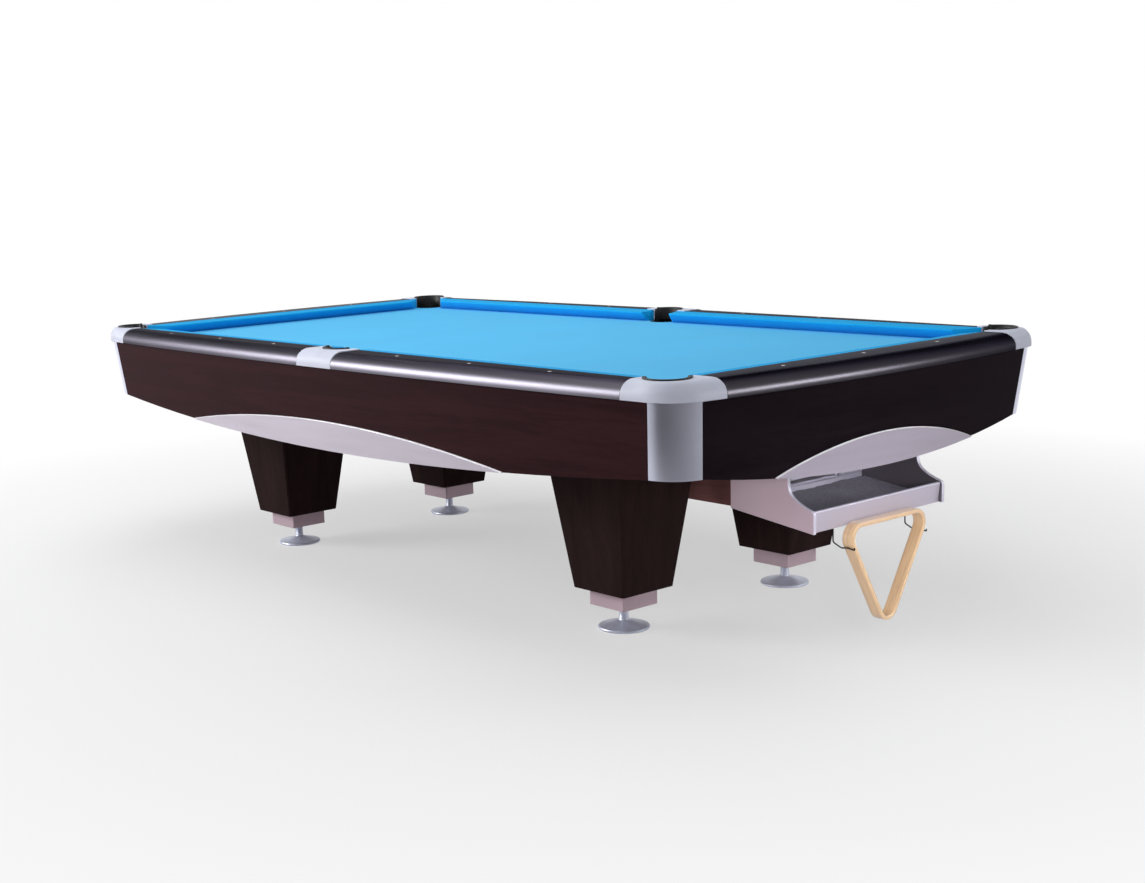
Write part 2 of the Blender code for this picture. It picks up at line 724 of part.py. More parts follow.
def chamfered_square(x, y, width, chamfer):
    """A square outline with its corners taken off."""
    half = width / 2
    corners = [(half - chamfer, half), (half, half - chamfer)]
    points = []
    for x_sign, y_sign, order in ((1, 1, 1), (1, -1, -1), (-1, -1, 1), (-1, 1, -1)):
        points += mirrored(corners, x_sign, y_sign)[::order]
    return [(x + px, y + py) for px, py in points]


def leg(name, x, y, material):
    """Square leg that tapers downwards."""
    sections = []
    for z, width in ((LEG_FOOT, LEG_BOTTOM), (UNDER_FRAME, LEG_TOP)):
        sections.append([(px, py, z) for px, py in chamfered_square(x, y, width, LEG_CHAMFER)])
    return loft(name, sections, material)


def plinth(name, x, y, material):
    """Block under a leg, bored for the leveler's stem."""
    outline = chamfered_square(x, y, PLINTH_WIDTH, LEG_CHAMFER / 2)
    top = PLINTH_BOTTOM + PLINTH_HEIGHT
    piece = prism(name, outline, PLINTH_BOTTOM, top, material)
    bore = arc(x, y, STEM_RADIUS + STEM_CLEARANCE, 0.0, 2 * pi, ROUND_STEPS)[:-1]
    past = PLINTH_HEIGHT / 4
    cut(piece, name + "_bore", bore, PLINTH_BOTTOM - past, top + past)


def leveler(name, x, y, material):
    """Leveler: domed disc and a stem that screws into the plinth."""
    dome = FOOT_RIM + FOOT_DOME
    middle = (FOOT_RADIUS + FOOT_NECK) / 2
    profile = [
        (FOOT_RADIUS - FOOT_EDGE, 0.0),
        (FOOT_RADIUS, FOOT_EDGE),
        (FOOT_RADIUS, FOOT_RIM - FOOT_EDGE),
        (FOOT_RADIUS - FOOT_EDGE, FOOT_RIM),
        (middle, FOOT_RIM + FOOT_DOME * FOOT_SLOPE),
        (FOOT_NECK, dome - FOOT_EDGE),
        (STEM_RADIUS, dome + 2 * FOOT_EDGE),
        (STEM_RADIUS, PLINTH_BOTTOM + STEM_ENGAGEMENT),
    ]
    set_pivot(turned(name, profile, (x, y), material), (x, y, 0.0))


def supports(leg_finish, plinth_finish, foot_finish):
    """A leg, a plinth and a leveler in each quarter."""
    for end, x_sign in ENDS.items():
        for side, y_sign in SIDES.items():
            x, y, place = LEG_X * x_sign, LEG_Y * y_sign, end + "_" + side
            leg(place + "_leg", x, y, leg_finish)
            plinth(place + "_plinth", x, y, plinth_finish)
            leveler(place + "_leveler", x, y, foot_finish)


def box_bottom(x):
    """Underside of the ball box, which falls towards its front."""
    share = (x - BOX_BACK) / (BOX_FRONT - BOX_BACK)
    return BOX_BACK_BOTTOM + (BOX_FRONT_BOTTOM - BOX_BACK_BOTTOM) * share


def cheek_outline():
    """Side of the ball box in X and Z. Its front edge falls in an S curve from the mouth to the lip."""
    lip_x = BOX_FRONT + BOX_LIP_LEAN
    lip_z = BOX_FRONT_BOTTOM + BOX_LIP_HEIGHT + BOX_LIP_WALL / 3
    run, rise = lip_x - BOX_MOUTH_X, BOX_SHOULDER - lip_z
    curve = []
    for turn in spread(0.0, pi / 2, CHEEK_STEPS):
        back = sin(turn)
        lift = CHEEK_SWEEP * (1 - cos(turn)) + (1 - CHEEK_SWEEP) * back
        curve.append((lip_x - run * back, lip_z + rise * lift))
    bottom = [(BOX_BACK, BOX_BACK_BOTTOM), (BOX_FRONT, BOX_FRONT_BOTTOM)]
    return bottom + curve + [(BOX_MOUTH_X, UNDER_FRAME), (BOX_BACK, UNDER_FRAME)]


def tray_outline():
    """Floor, front lip and back sill of the ball box, as one outline in X and Z."""
    lip_top = BOX_FRONT_BOTTOM + BOX_LIP_HEIGHT
    inner_front = BOX_FRONT - BOX_LIP_WALL
    inner_back = BOX_BACK + BOX_SILL
    sill_top = BOX_BACK_BOTTOM + BOX_SILL_HEIGHT
    return [
        (BOX_BACK, BOX_BACK_BOTTOM),
        (BOX_FRONT, BOX_FRONT_BOTTOM),
        (BOX_FRONT + BOX_LIP_LEAN, lip_top),
        (inner_front + BOX_LIP_LEAN, lip_top),
        (inner_front, box_bottom(inner_front) + BOX_FLOOR),
        (inner_back, box_bottom(inner_back) + BOX_FLOOR),
        (inner_back, sill_top),
        (BOX_BACK, sill_top),
    ]


def ball_box(material):
    """Collecting tray at the foot end: cheeks, floor, lip, sill and a header across its mouth."""
    half = BOX_WIDTH / 2
    inner = half - BOX_CHEEK
    bite = BOX_CHEEK / 2
    cheek = cheek_outline()
    piece = across("ball_box", cheek, (inner, half), material)
    header = [
        (BOX_MOUTH_X - BOX_HEADER, BOX_HEADER_BOTTOM),
        (BOX_MOUTH_X - GAP, BOX_HEADER_BOTTOM),
        (BOX_MOUTH_X - GAP, UNDER_FRAME - GAP),
        (BOX_MOUTH_X - BOX_HEADER, UNDER_FRAME - GAP),
    ]
    span = (-inner - bite, inner + bite)
    join(
        piece,
        [
            across("ball_box_tray", tray_outline(), span, material),
            across("ball_box_header", header, span, material),
            across("ball_box_right_cheek", cheek, (-half, -inner), material),
        ],
    )


def return_chute(material):
    """Wooden trough that leads balls over the box's sill: two side boards with a floor between."""
    half = CHUTE_WIDTH / 2
    inner = half - CHUTE_WALL
    floor_top = CHUTE_FLOOR + CHUTE_WALL
    quarter = [
        (half, CHUTE_BOTTOM),
        (half, UNDER_FRAME),
        (inner, UNDER_FRAME),
        (inner, floor_top),
    ]
    below = [(inner, CHUTE_FLOOR), (inner, CHUTE_BOTTOM)]
    outline = quarter + mirrored(quarter, -1, 1)[::-1] + mirrored(below, -1, 1)[::-1] + below
    sections = [[(x, y, z) for y, z in outline] for x in (CHUTE_START, BOX_BACK - GAP)]
    return loft("return_chute", sections, material)


def rack_outline(offset):
    """Rounded triangle, point down, in Y and Z, a wall's offset outside the balls' own outline."""
    radius = BALL / 2 + offset
    low = RACK_CENTRE - RACK_SIDE * sqrt(3) / 2
    corners = [(RACK_SIDE / 2, RACK_CENTRE), (-RACK_SIDE / 2, RACK_CENTRE), (0.0, low)]
    points = []
    start = -pi / 6
    for y, z in corners:
        points += arc(y, z, radius, start, start + 2 * pi / 3, RACK_STEPS)
        start += 2 * pi / 3
    return points


def triangle_rack(material):
    """Rack for fifteen balls: one bent wall."""
    sections = []
    for outer, inner in zip(rack_outline(RACK_WALL), rack_outline(0.0)):
        front, back = RACK_BACK + RACK_DEPTH, RACK_BACK
        sections.append([(front, *outer), (back, *outer), (back, *inner), (front, *inner)])
    rack = loft("triangle_rack", sections, material, closed=True)
    set_pivot(rack, (RACK_BACK + RACK_DEPTH / 2, 0.0, rack_seat(0.0)[1]))


def length_of(vector):
    """Length of a plain triple."""
    return sqrt(sum(v * v for v in vector))


def rounded_path(points, radius):
    """Replaces each inner corner of a path with a curve of about the given radius."""
    path = [points[0]]
    for before, corner, after in zip(points, points[1:], points[2:]):
        into = [a - b for a, b in zip(before, corner)]
        out = [a - b for a, b in zip(after, corner)]
        length = min(radius, length_of(into) * WIRE_STRAIGHT, length_of(out) * WIRE_STRAIGHT)
        start = [c + v * length / length_of(into) for c, v in zip(corner, into)]
        end = [c + v * length / length_of(out) for c, v in zip(corner, out)]
        for t in spread(0.0, 1.0, BEND_STEPS + 1):
            path.append(
                tuple(
                    (1 - t) ** 2 * s + 2 * t * (1 - t) * c + t * t * e
                    for s, c, e in zip(start, corner, end)
                )
            )
    return path + [points[-1]]


def rack_seat(away):
    """Where the rack's right wall bears on the wire, just under its rounding, and so far away from it."""
    reach = BALL / 2 + RACK_WALL + away
    return -RACK_SIDE / 2 - reach * cos(pi / 6), RACK_CENTRE - reach * sin(pi / 6)


def rack_hooks(material):
    """One bent wire: a run under the ball box, with a hook at each end that the rack's walls rest in."""
    seat_y, seat_z = rack_seat(WIRE_RADIUS + GAP)
    front, middle = RACK_BACK + RACK_DEPTH, RACK_BACK + RACK_DEPTH / 2
    run_z = box_bottom(WIRE_RUN_X) - WIRE_RADIUS - 2 * GAP
    low_z = seat_z - HOOK_CROWN
    tip_x = front + WIRE_RADIUS + HOOK_CLEARANCE
    hook = [
        (tip_x, seat_y, low_z + HOOK_TIP),
        (tip_x, seat_y, low_z),
        (middle, seat_y, seat_z),
        (RACK_BACK - 2 * WIRE_RADIUS, seat_y, low_z),
        (WIRE_RUN_X, seat_y, low_z + 2 * WIRE_BEND),
        (WIRE_RUN_X, seat_y, run_z),
    ]
    points = rounded_path(hook + mirrored_hook(hook), WIRE_BEND)
    curve = bpy.data.curves.new("rack_hooks", "CURVE")
    curve.dimensions = "3D"
    curve.bevel_depth = WIRE_RADIUS
    curve.bevel_resolution = 1
    curve.use_fill_caps = True
    spline = curve.splines.new("POLY")
    spline.points.add(len(points) - 1)
    for point, place in zip(spline.points, points):
        point.co = (*place, 1.0)
    curve.materials.append(material)
    piece = bpy.data.objects.new("rack_hooks", curve)
    bpy.context.scene.collection.objects.link(piece)


def mirrored_hook(hook):
    """The other hook, from the run to its tip."""
    return [(x, -y, z) for x, y, z in reversed(hook)]


def top_works(rail, cushion, metal, rubber):
    """Rails, cushions, caps and liners."""
    for side, y_sign in SIDES.items():
        for end, x_sign in ENDS.items():
            place = side + "_" + end
            side_rail(place + "_rail", x_sign, y_sign, rail)
            side_cushion(place + "_cushion", x_sign, y_sign, cushion)
            corner_cap(place + "_corner_cap", x_sign, y_sign, metal)
            corner_liner(place + "_pocket_liner", x_sign, y_sign, rubber)
        side_cap(side + "_side_cap", y_sign, metal)
        side_liner(side + "_side_pocket_liner", y_sign, rubber)
    for end, x_sign in ENDS.items():
        end_rail(end + "_rail", x_sign, rail)
        end_cushion(end + "_cushion", x_sign, cushion)


def cabinet(panel, accent, metal):
    """Aprons, accent panels and corner posts."""
    for side, y_sign in SIDES.items():
        side_panels(side, y_sign, panel, accent)
        for end, x_sign in ENDS.items():
            corner_post(side + "_" + end + "_corner_post", x_sign, y_sign, metal)
    for end, x_sign in ENDS.items():
        end_panels(end, x_sign, panel, accent)


def main():
    """Clears the scene and builds every piece."""
    for old in list(bpy.data.objects):
        bpy.data.objects.remove(old, do_unlink=True)
    charcoal = finish("charcoal_laminate", (0.055, 0.050, 0.066), 0.32)
    silver = finish("cast_silver", (0.55, 0.58, 0.66), 0.38, 0.6)
    blue_rail = finish("rail_cloth", (0.0, 0.28, 0.76), 0.9)
    rubber = finish("black_rubber", (0.012, 0.012, 0.014), 0.55)
    mahogany = finish("dark_mahogany", (0.035, 0.014, 0.017), 0.38)
    pewter = finish("pewter_panel", (0.54, 0.50, 0.58), 0.42, 0.3)
    leg_wood = finish("dark_leg_veneer", (0.018, 0.011, 0.010), 0.40)
    bed(finish("slate", (0.16, 0.17, 0.18), 0.7), finish("bed_cloth", (0.10, 0.52, 0.92), 0.9))
    top_works(charcoal, blue_rail, silver, rubber)
    cabinet(mahogany, pewter, silver)
    frame(finish("frame_timber", (0.32, 0.20, 0.11), 0.7))
    supports(leg_wood, pewter, finish("grey_steel", (0.30, 0.32, 0.36), 0.4, 0.7))
    ball_box(pewter)
    return_chute(finish("red_brown_timber", (0.13, 0.055, 0.045), 0.6))
    triangle_rack(finish("maple", (0.66, 0.43, 0.23), 0.45))
    rack_hooks(finish("black_wire", (0.01, 0.01, 0.01), 0.4))


main()
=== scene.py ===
"""Dresses a nine-foot pool table: cloth, cushions, pockets, sights, rack, feet and every finish.

Metres, +Z up. X runs along the table, with the ball box at +X. Y runs across it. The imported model
gives every place, and the pieces made here sit on it.
"""

import json
import math
from collections import namedtuple

import bmesh
import bpy
import numpy as np
from bpy.props import FloatProperty, FloatVectorProperty, PointerProperty
from mathutils import Matrix, Vector


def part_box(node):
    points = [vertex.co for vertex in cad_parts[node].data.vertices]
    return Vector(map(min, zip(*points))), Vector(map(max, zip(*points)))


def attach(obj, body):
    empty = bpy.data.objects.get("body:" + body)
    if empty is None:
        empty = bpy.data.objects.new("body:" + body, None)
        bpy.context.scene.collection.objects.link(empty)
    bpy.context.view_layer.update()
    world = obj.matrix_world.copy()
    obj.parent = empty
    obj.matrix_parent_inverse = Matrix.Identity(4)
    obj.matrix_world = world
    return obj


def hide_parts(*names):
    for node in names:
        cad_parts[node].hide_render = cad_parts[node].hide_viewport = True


bl_info = {
    "name": "Pool Table Dressing",
    "version": (1, 0, 0),
    "blender": (4, 5, 0),
    "location": "View3D > Sidebar > Pool Table",
    "description": "Cloth, pockets, sights, rack, feet and finishes for a pool table",
    "category": "Object",
}

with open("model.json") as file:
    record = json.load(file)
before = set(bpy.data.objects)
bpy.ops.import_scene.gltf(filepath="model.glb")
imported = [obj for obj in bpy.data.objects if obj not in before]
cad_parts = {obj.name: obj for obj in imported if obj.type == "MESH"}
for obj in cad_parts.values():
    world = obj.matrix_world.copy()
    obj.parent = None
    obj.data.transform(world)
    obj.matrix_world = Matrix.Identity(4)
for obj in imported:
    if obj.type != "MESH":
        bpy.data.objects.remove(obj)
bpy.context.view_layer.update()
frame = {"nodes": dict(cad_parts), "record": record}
NODES = frame["nodes"]
NODE_BODY = {n: b for b, names in frame["record"]["behaviour"]["bodies"].items() for n in names}

# Lines of the table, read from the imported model.
BED_X, BED_Y, BED_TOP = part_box("bed_cloth")[1]
NOSE_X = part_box("foot_cushion")[0].x
NOSE_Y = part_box("left_foot_cushion")[0].y
CUSHION_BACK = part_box("foot_cushion")[1].x - NOSE_X
CUSHION_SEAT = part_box("foot_cushion")[0].z
RAIL_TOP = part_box("foot_rail")[1].z
CAP_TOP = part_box("left_side_cap")[1].z
LINER_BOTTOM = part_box("left_side_pocket_liner")[0].z
LINER_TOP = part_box("left_side_pocket_liner")[1].z
SIDES = {"right": -1, "left": 1}
ENDS = {"head": -1, "foot": 1}
SLATES = ("slate_head", "slate_middle", "slate_foot")

# Degrees from a pocket's open direction to where its wings and its lip start.
SIDE_JAWS, CORNER_JAWS = (86, 97), (59, 75)
# Thickness of the chute's boards, and the step from the ball box's sill up to the chute's floor.
CHUTE_WALL, CHUTE_STEP = 0.012, 0.005
# Sines that fray the carpet's back edge: size, turn per metre and phase.
FRAY = ((0.0035, 23.0, 0.6), (0.0022, 71.0, 0.0), (0.0016, 167.0, 1.9))

MERGE = 0.00002  # points closer than this become one
EDGE = 32  # degrees past which an edge is sharp and gets rounded
SKIN = 0.0005  # small play between boards, and half the depth of a band with its own tone
FROM_MIDDLE, TO_END = -1.0, 2.0  # open ends of such a band, past every piece
EVEN = (1.0, 1.0, 1.0)  # the stretch of a pattern that runs alike along each axis


def number(name, description, default, **kind):
    """A number, with a unit where one fits."""
    return FloatProperty(name=name, description=description, default=default, **kind)


def length(name, description, default):
    """A size in metres."""
    return number(name, description, default, unit="LENGTH", precision=4)


def angle(name, description, default):
    """A turn in radians."""
    return number(name, description, default, unit="ROTATION")


def colour(name, description, default):
    """A linear colour."""
    return FloatVectorProperty(
        name=name, description=description, default=default,
        size=3, subtype="COLOR", min=0.0, max=1.0,
    )


class TableSizes(bpy.types.PropertyGroup):
    """Sizes of the pieces that dress the table."""

    ball: length("Ball", "Diameter of a ball, which sets the rack", 0.05715)
    corner_offset: length("Corner pocket", "From the nose lines to a corner hole's middle", 0.038)
    side_offset: length("Side pocket", "From the nose line to a side hole's middle", 0.055)
    corner_hole: length("Corner hole", "Radius of a corner pocket's liner", 0.0557)
    side_hole: length("Side hole", "Radius of a side pocket's liner", 0.0537)
    slate_gap: length("Slate gap", "Between a liner and the slate's round cut", 0.0033)
    corner_mouth: length("Corner mouth", "Between the cushion noses at a corner pocket", 0.117)
    side_mouth: length("Side mouth", "Between the cushion noses at a side pocket", 0.127)
    cloth: length("Cloth", "Thickness of the bed cloth", 0.001)
    cloth_drop: length("Cloth drop", "How far the bed cloth turns down in a pocket", 0.020)
    nose_height: length("Nose height", "Height of the cushion's nose over the cloth", 0.0300)
    nose_round: length("Nose rounding", "Radius of the cushion's nose", 0.0045)
    undercut: length("Undercut", "How far the cushion's foot stands behind its nose", 0.022)
    hem_round: length("Cushion ends", "Rounding of the cloth over a cushion's end", 0.0025)
    liner_wall: length("Liner wall", "Thickness of a pocket liner", 0.005)
    liner_lip: length("Liner lip", "How far a liner's lip overhangs the casting", 0.0035)
    throat: length("Liner throat", "Radius of a liner's lower end", 0.046)
    boot: length("Boot", "How far a boot hangs below its liner", 0.034)
    sight: length("Sight", "Radius of a rail sight", 0.0055)
    sight_line: length("Sight line", "From the nose line out to the sights", 0.090)
    sight_pitch: length("Sight pitch", "Between two sights", 0.3175)
    carpet: length("Carpet", "Thickness of the ball box's carpet", 0.004)
    box_wall: length("Box wall", "Thickness of the ball box's cheeks, lip and sill", 0.012)
    box_floor: length("Box floor", "Thickness of the ball box's floor", 0.010)
    box_fall: length("Box fall", "How far the ball box's floor falls to its front", 0.0335)
    box_lip: length("Box lip", "Height of the ball box's lip", 0.057)
    box_lean: length("Box lean", "How far the ball box's lip leans out", 0.006)
    box_reveal: length("Box reveal", "How far the cheeks stand ahead of the lip", 0.006)
    box_sill: length("Box sill", "Height of the ball box's back sill", 0.022)
    box_header: length("Box header", "Depth of the bar over the ball box's mouth", 0.018)
    box_mouth: length("Box mouth", "From the cheeks' front back to the mouth", 0.082)
    box_shoulder: length("Box shoulder", "From the frame down to the cheeks' curve", 0.087)
    box_nose: length("Box nose", "Rounding of the cheeks' front corner", 0.012)
    rack_wall: length("Rack wall", "Thickness of the rack's wall", 0.012)
    rack_round: length("Rack rounding", "Rounding of the rack's edges", 0.0028)
    stem: length("Stem", "Radius of a leveler's stem", 0.013)
    thread: length("Thread", "Pitch of a leveler's thread", 0.0035)


class TableColours(bpy.types.PropertyGroup):
    """Colours of the finishes, linear."""

    bed: colour("Bed cloth", "Cloth on the bed", (0.100, 0.540, 0.920))
    # Cushion cloth: darker and bluer than the bed cloth, partly a dye of its own, partly painted
    # shade of the cushions' shaded faces.
    cushion: colour("Cushion cloth", "Cloth on the cushions", (0.006, 0.400, 0.830))
    rail: colour("Side rails", "Satin charcoal of the side rails", (0.074, 0.070, 0.083))
    # End rails: the side rails' charcoal made darker as painted shade, and glossier.
    end_rail_painted_shade: colour("End rails", "Glossier charcoal of the end rails", (0.045, 0.042, 0.049))
    silver: colour("Castings", "Caps round the pockets", (0.615, 0.645, 0.770))
    post: colour("Posts", "Satin metal of the corner posts", (0.670, 0.680, 0.815))
    mahogany: colour("Side aprons", "Dark red-brown veneer", (0.032, 0.0108, 0.0135))
    # End aprons: a nearly black tone in place of the side aprons' red-brown veneer, painted shade
    # for the shaded ends.
    end_veneer_painted_shade: colour("End aprons", "Nearly black veneer", (0.011, 0.007, 0.010))
    pewter: colour("Side lens panels", "Panels on the side aprons", (0.510, 0.474, 0.547))
    # End lens panels: the side panels' pewter made darker, painted shade for the ends.
    end_lens_painted_shade: colour("End lens panels", "Panels on the end aprons", (0.425, 0.385, 0.470))
    # Lens edges: a near-white tone on the panels' upward faces, a painted highlight, with a polished
    # roughness.
    bright: colour("Lens edges", "Upper edges of the lens panels", (0.900, 0.890, 0.930))
    leg: colour("Legs", "Dark veneer of the legs", (0.028, 0.0160, 0.0160))
    plinth: colour("Plinths", "Painted blocks under the legs", (0.510, 0.378, 0.435))
    box: colour("Ball box", "Satin paint of the ball box", (0.670, 0.645, 0.780))
    cheek: colour("Box cheeks", "Outer faces of the box's cheeks", (0.600, 0.460, 0.530))
    # Inner faces of the box's cheeks: a dark tone that is painted shade.
    cheek_inside_painted_shade: colour("Box lining", "Inner faces of the box's cheeks", (0.125, 0.109, 0.131))
    lip: colour("Box lip", "Front face of the ball box's lip", (0.540, 0.500, 0.600))
    carpet: colour("Carpet", "Ball box carpet", (0.230, 0.212, 0.295))
    chute: colour("Chute", "Red-brown timber", (0.270, 0.125, 0.120))
    rubber: colour("Rubber", "Pocket liners and boots", (0.006, 0.006, 0.007))
    steel: colour("Feet", "Painted levelers", (0.540, 0.575, 0.690))
    timber: colour("Frame", "Timber of the frame", (0.300, 0.190, 0.110))
    slate: colour("Slate", "Bare slate", (0.150, 0.160, 0.170))
    maple: colour("Rack", "Maple of the rack", (0.930, 0.610, 0.350))
    wire: colour("Hooks", "Enamel of the rack's wire hooks", (0.005, 0.005, 0.006))
    sight: colour("Sights", "Inlaid sights", (0.620, 0.540, 0.550))


class StageSettings(bpy.types.PropertyGroup):
    """Camera and floor."""

    place: FloatVectorProperty(
        name="Camera", description="Place of the camera", default=(4.0214, -3.5055, 1.271),
        unit="LENGTH",
    )
    yaw: angle("Yaw", "Turn to the left of +Y", 0.90722)
    pitch: angle("Pitch", "Turn downwards", 0.19478)
    roll: angle("Roll", "Tilt of the picture", -0.04032)
    lens: number("Lens", "Focal length in millimetres", 51.966, unit="CAMERA")
    shift_x: number("Shift X", "Shift of the frame to the right", 0.12)
    shift_y: number("Shift Y", "Shift of the frame upwards", 0.05)
    floor: colour("Floor", "Colour of the floor", (0.86, 0.86, 0.87))


def sizes():
    """The scene's size settings."""
    return bpy.context.scene.pool_table_sizes


def colours():
    """The scene's colour settings."""
    return bpy.context.scene.pool_table_colours


# Nodes and shared finishes.


def put(tree, node, values):
    """Gives a node's inputs their values. A socket is linked, and any other value is set."""
    for key, value in values.items():
        if isinstance(value, bpy.types.NodeSocket):
            tree.links.new(value, node.inputs[key])
        else:
            node.inputs[key].default_value = value
    return node


def add(tree, kind, values=None, **settings):
    """Adds a node with its settings and inputs."""
    made = tree.nodes.new(kind)
    for key, value in settings.items():
        setattr(made, key, value)
    return put(tree, made, values or {})


def calc(tree, operation, *values):
    """A Math node's result."""
    return add(tree, "ShaderNodeMath", dict(enumerate(values)), operation=operation).outputs[0]


def remap(tree, value, low, high, to_low, to_high):
    """Carries a value from one range to another, clamped."""
    span = {"From Min": low, "From Max": high, "To Min": to_low, "To Max": to_high}
    return add(tree, "ShaderNodeMapRange", {"Value": value, **span}).outputs[0]


def blend(tree, factor, one, two):
    """A mix of two colours."""
    values = {0: factor, 6: one, 7: two}
    return add(tree, "ShaderNodeMix", values, data_type="RGBA").outputs[2]


def noise(tree, vector, scale, detail=3.0, roughness=0.55, distortion=0.0):
    """A noise texture's value."""
    values = {"Vector": vector, "Scale": scale, "Detail": detail}
    values.update({"Roughness": roughness, "Distortion": distortion})
    return add(tree, "ShaderNodeTexNoise", values).outputs[0]


def rgba(value, scale=1.0):
    """A colour with its alpha, brightened or darkened."""
    return (*(min(1.0, v * scale) for v in value), 1.0)


def new_group(name, numbers):
    """A shader group that turns a vector, two colours and numbers into a colour and two masks."""
    tree = bpy.data.node_groups.new(name, "ShaderNodeTree")
    taken = {"Vector": "Vector", "Light": "Color", "Dark": "Color"}
    taken.update(dict.fromkeys(numbers, "Float"))
    given = {"Colour": "Color", "Spread": "Float", "Height": "Float"}
    for way, sockets in (("INPUT", taken), ("OUTPUT", given)):
        for socket, kind in sockets.items():
            made = tree.interface.new_socket(socket, in_out=way, socket_type="NodeSocket" + kind)
            if socket in numbers:
                made.default_value = numbers[socket]
    start, end = tree.nodes.new("NodeGroupInput"), tree.nodes.new("NodeGroupOutput")
    return tree, start.outputs, end


def close_group(tree, taken, given, coarse, fine, share, height):
    """Ends a group: its colour runs from Dark to Light by a mix of a coarse and a fine pattern."""
    darkest, lightest = 0.34, 0.66  # values of the mix that give the two colours themselves
    mixed = calc(tree, "MULTIPLY_ADD", coarse, share, calc(tree, "MULTIPLY", fine, 1 - share))
    spread = remap(tree, mixed, darkest, lightest, 0.0, 1.0)
    tone = blend(tree, spread, taken["Dark"], taken["Light"])
    put(tree, given, {"Colour": tone, "Spread": spread, "Height": height})


def grain_group(name):
    """Wood: a broad figure and fine pores, both drawn out by the vector's own stretch."""
    tree, taken, given = new_group(name, {"Figure": 3.0, "Pores": 40.0})
    place = taken["Vector"]
    figure = noise(tree, place, taken["Figure"], detail=5.0, roughness=0.6, distortion=0.8)
    pores = noise(tree, place, taken["Pores"])
    close_group(tree, taken, given, figure, pores, share=0.7, height=pores)


def mottle_group(name):
    """Paint, laminate and metal: a soft cloud of tone with a fine tooth."""
    tree, taken, given = new_group(name, {"Cloud": 6.0, "Tooth": 900.0})
    cloud = noise(tree, taken["Vector"], taken["Cloud"])
    tooth = noise(tree, taken["Vector"], taken["Tooth"], detail=2.0)
    close_group(tree, taken, given, cloud, tooth, share=0.65, height=tooth)


def weave_group(name):
    """Worsted cloth: threads crossing at a pitch, with nap and a slow change of tone."""
    tree, taken, given = new_group(name, {"Pitch": 0.0012, "Nap": 420.0})
    place = add(tree, "ShaderNodeSeparateXYZ", {"Vector": taken["Vector"]}).outputs
    waves = []
    for axis in ("X", "Y"):
        turns = calc(tree, "MULTIPLY", place[axis], 2 * math.pi)
        waves.append(calc(tree, "SINE", calc(tree, "DIVIDE", turns, taken["Pitch"])))
    threads = calc(tree, "MULTIPLY_ADD", calc(tree, "MULTIPLY", *waves), 0.5, 0.5)
    nap = noise(tree, taken["Vector"], taken["Nap"])
    cloud = noise(tree, taken["Vector"], 3.0, detail=2.0)
    height = calc(tree, "MULTIPLY_ADD", threads, 0.4, nap)
    close_group(tree, taken, given, cloud, nap, share=0.45, height=height)


GROUPS = {"grain": grain_group, "mottle": mottle_group, "weave": weave_group}


def finish(
    name, group, tone, spread, numbers, rough, bump, stretch=EVEN, coords="Object", plain=None
):
    """A material: coordinates, a stretch, one shared group, then the shader with its plain values.

    spread scales the tone to its light and its dark version, rough is the range of roughness, and
    bump is the relief's strength and depth.
    """
    if group not in bpy.data.node_groups:
        GROUPS[group](group)
    material = bpy.data.materials.new(name)
    material.use_nodes = True
    tree = material.node_tree
    place = add(tree, "ShaderNodeTexCoord").outputs[coords]
    drawn = add(tree, "ShaderNodeMapping", {"Vector": place, "Scale": stretch}).outputs[0]
    shared = add(tree, "ShaderNodeGroup", node_tree=bpy.data.node_groups[group])
    light, dark = (rgba(tone, scale) for scale in spread)
    put(tree, shared, {"Vector": drawn, "Light": light, "Dark": dark, **numbers})
    relief = {"Height": shared.outputs["Height"], "Strength": bump[0], "Distance": bump[1]}
    values = {
        "Base Color": shared.outputs["Colour"],
        "Roughness": remap(tree, shared.outputs["Spread"], 0.0, 1.0, *rough),
        "Normal": add(tree, "ShaderNodeBump", relief).outputs[0],
    }
    put(tree, tree.nodes["Principled BSDF"], {**values, **(plain or {})})
    return material


def worsted(name, tone, spread, rough):
    """Fine wool cloth."""
    numbers = {"Pitch": 0.0012, "Nap": 420.0}
    plain = {"Sheen Weight": 0.02, "Sheen Roughness": 0.6, "Specular IOR Level": 0.1}
    return finish(name, "weave", tone, spread, numbers, rough, (0.25, 0.0004), plain=plain)


def veneer(name, tone, stretch, rough=(0.40, 0.52), gloss=0.022):
    """Dark satin wood with the grain drawn out along one axis."""
    return finish(
        name, "grain", tone, (1.3, 0.75), {"Figure": 3.0, "Pores": 45.0}, rough, (0.12, 0.0003),
        stretch, plain={"Specular IOR Level": gloss},
    )


def satin(name, tone, rough, plain=None, stretch=EVEN):
    """Even paint or metal with a soft cloud and a fine tooth."""
    return finish(
        name, "mottle", tone, (1.05, 0.94), {"Cloud": 8.0, "Tooth": 900.0}, rough, (0.1, 0.0002),
        stretch, plain=plain,
    )


def lined(material, tone, **bands):
    """Gives faces a tone of their own where their distance from the middle lies in every band."""
    tree = material.node_tree
    shader = tree.nodes["Principled BSDF"]
    plain = shader.inputs["Base Color"].links[0].from_socket
    place = add(tree, "ShaderNodeTexCoord").outputs["Object"]
    axes = add(tree, "ShaderNodeSeparateXYZ", {"Vector": place}).outputs
    mask = 1.0
    for axis, band in bands.items():
        away = calc(tree, "ABSOLUTE", axes[axis])
        for test, limit in zip(("GREATER_THAN", "LESS_THAN"), band):
            mask = calc(tree, "MULTIPLY", mask, calc(tree, test, away, limit))
    put(tree, shader, {"Base Color": blend(tree, mask, plain, rgba(tone))})


# Meshes.


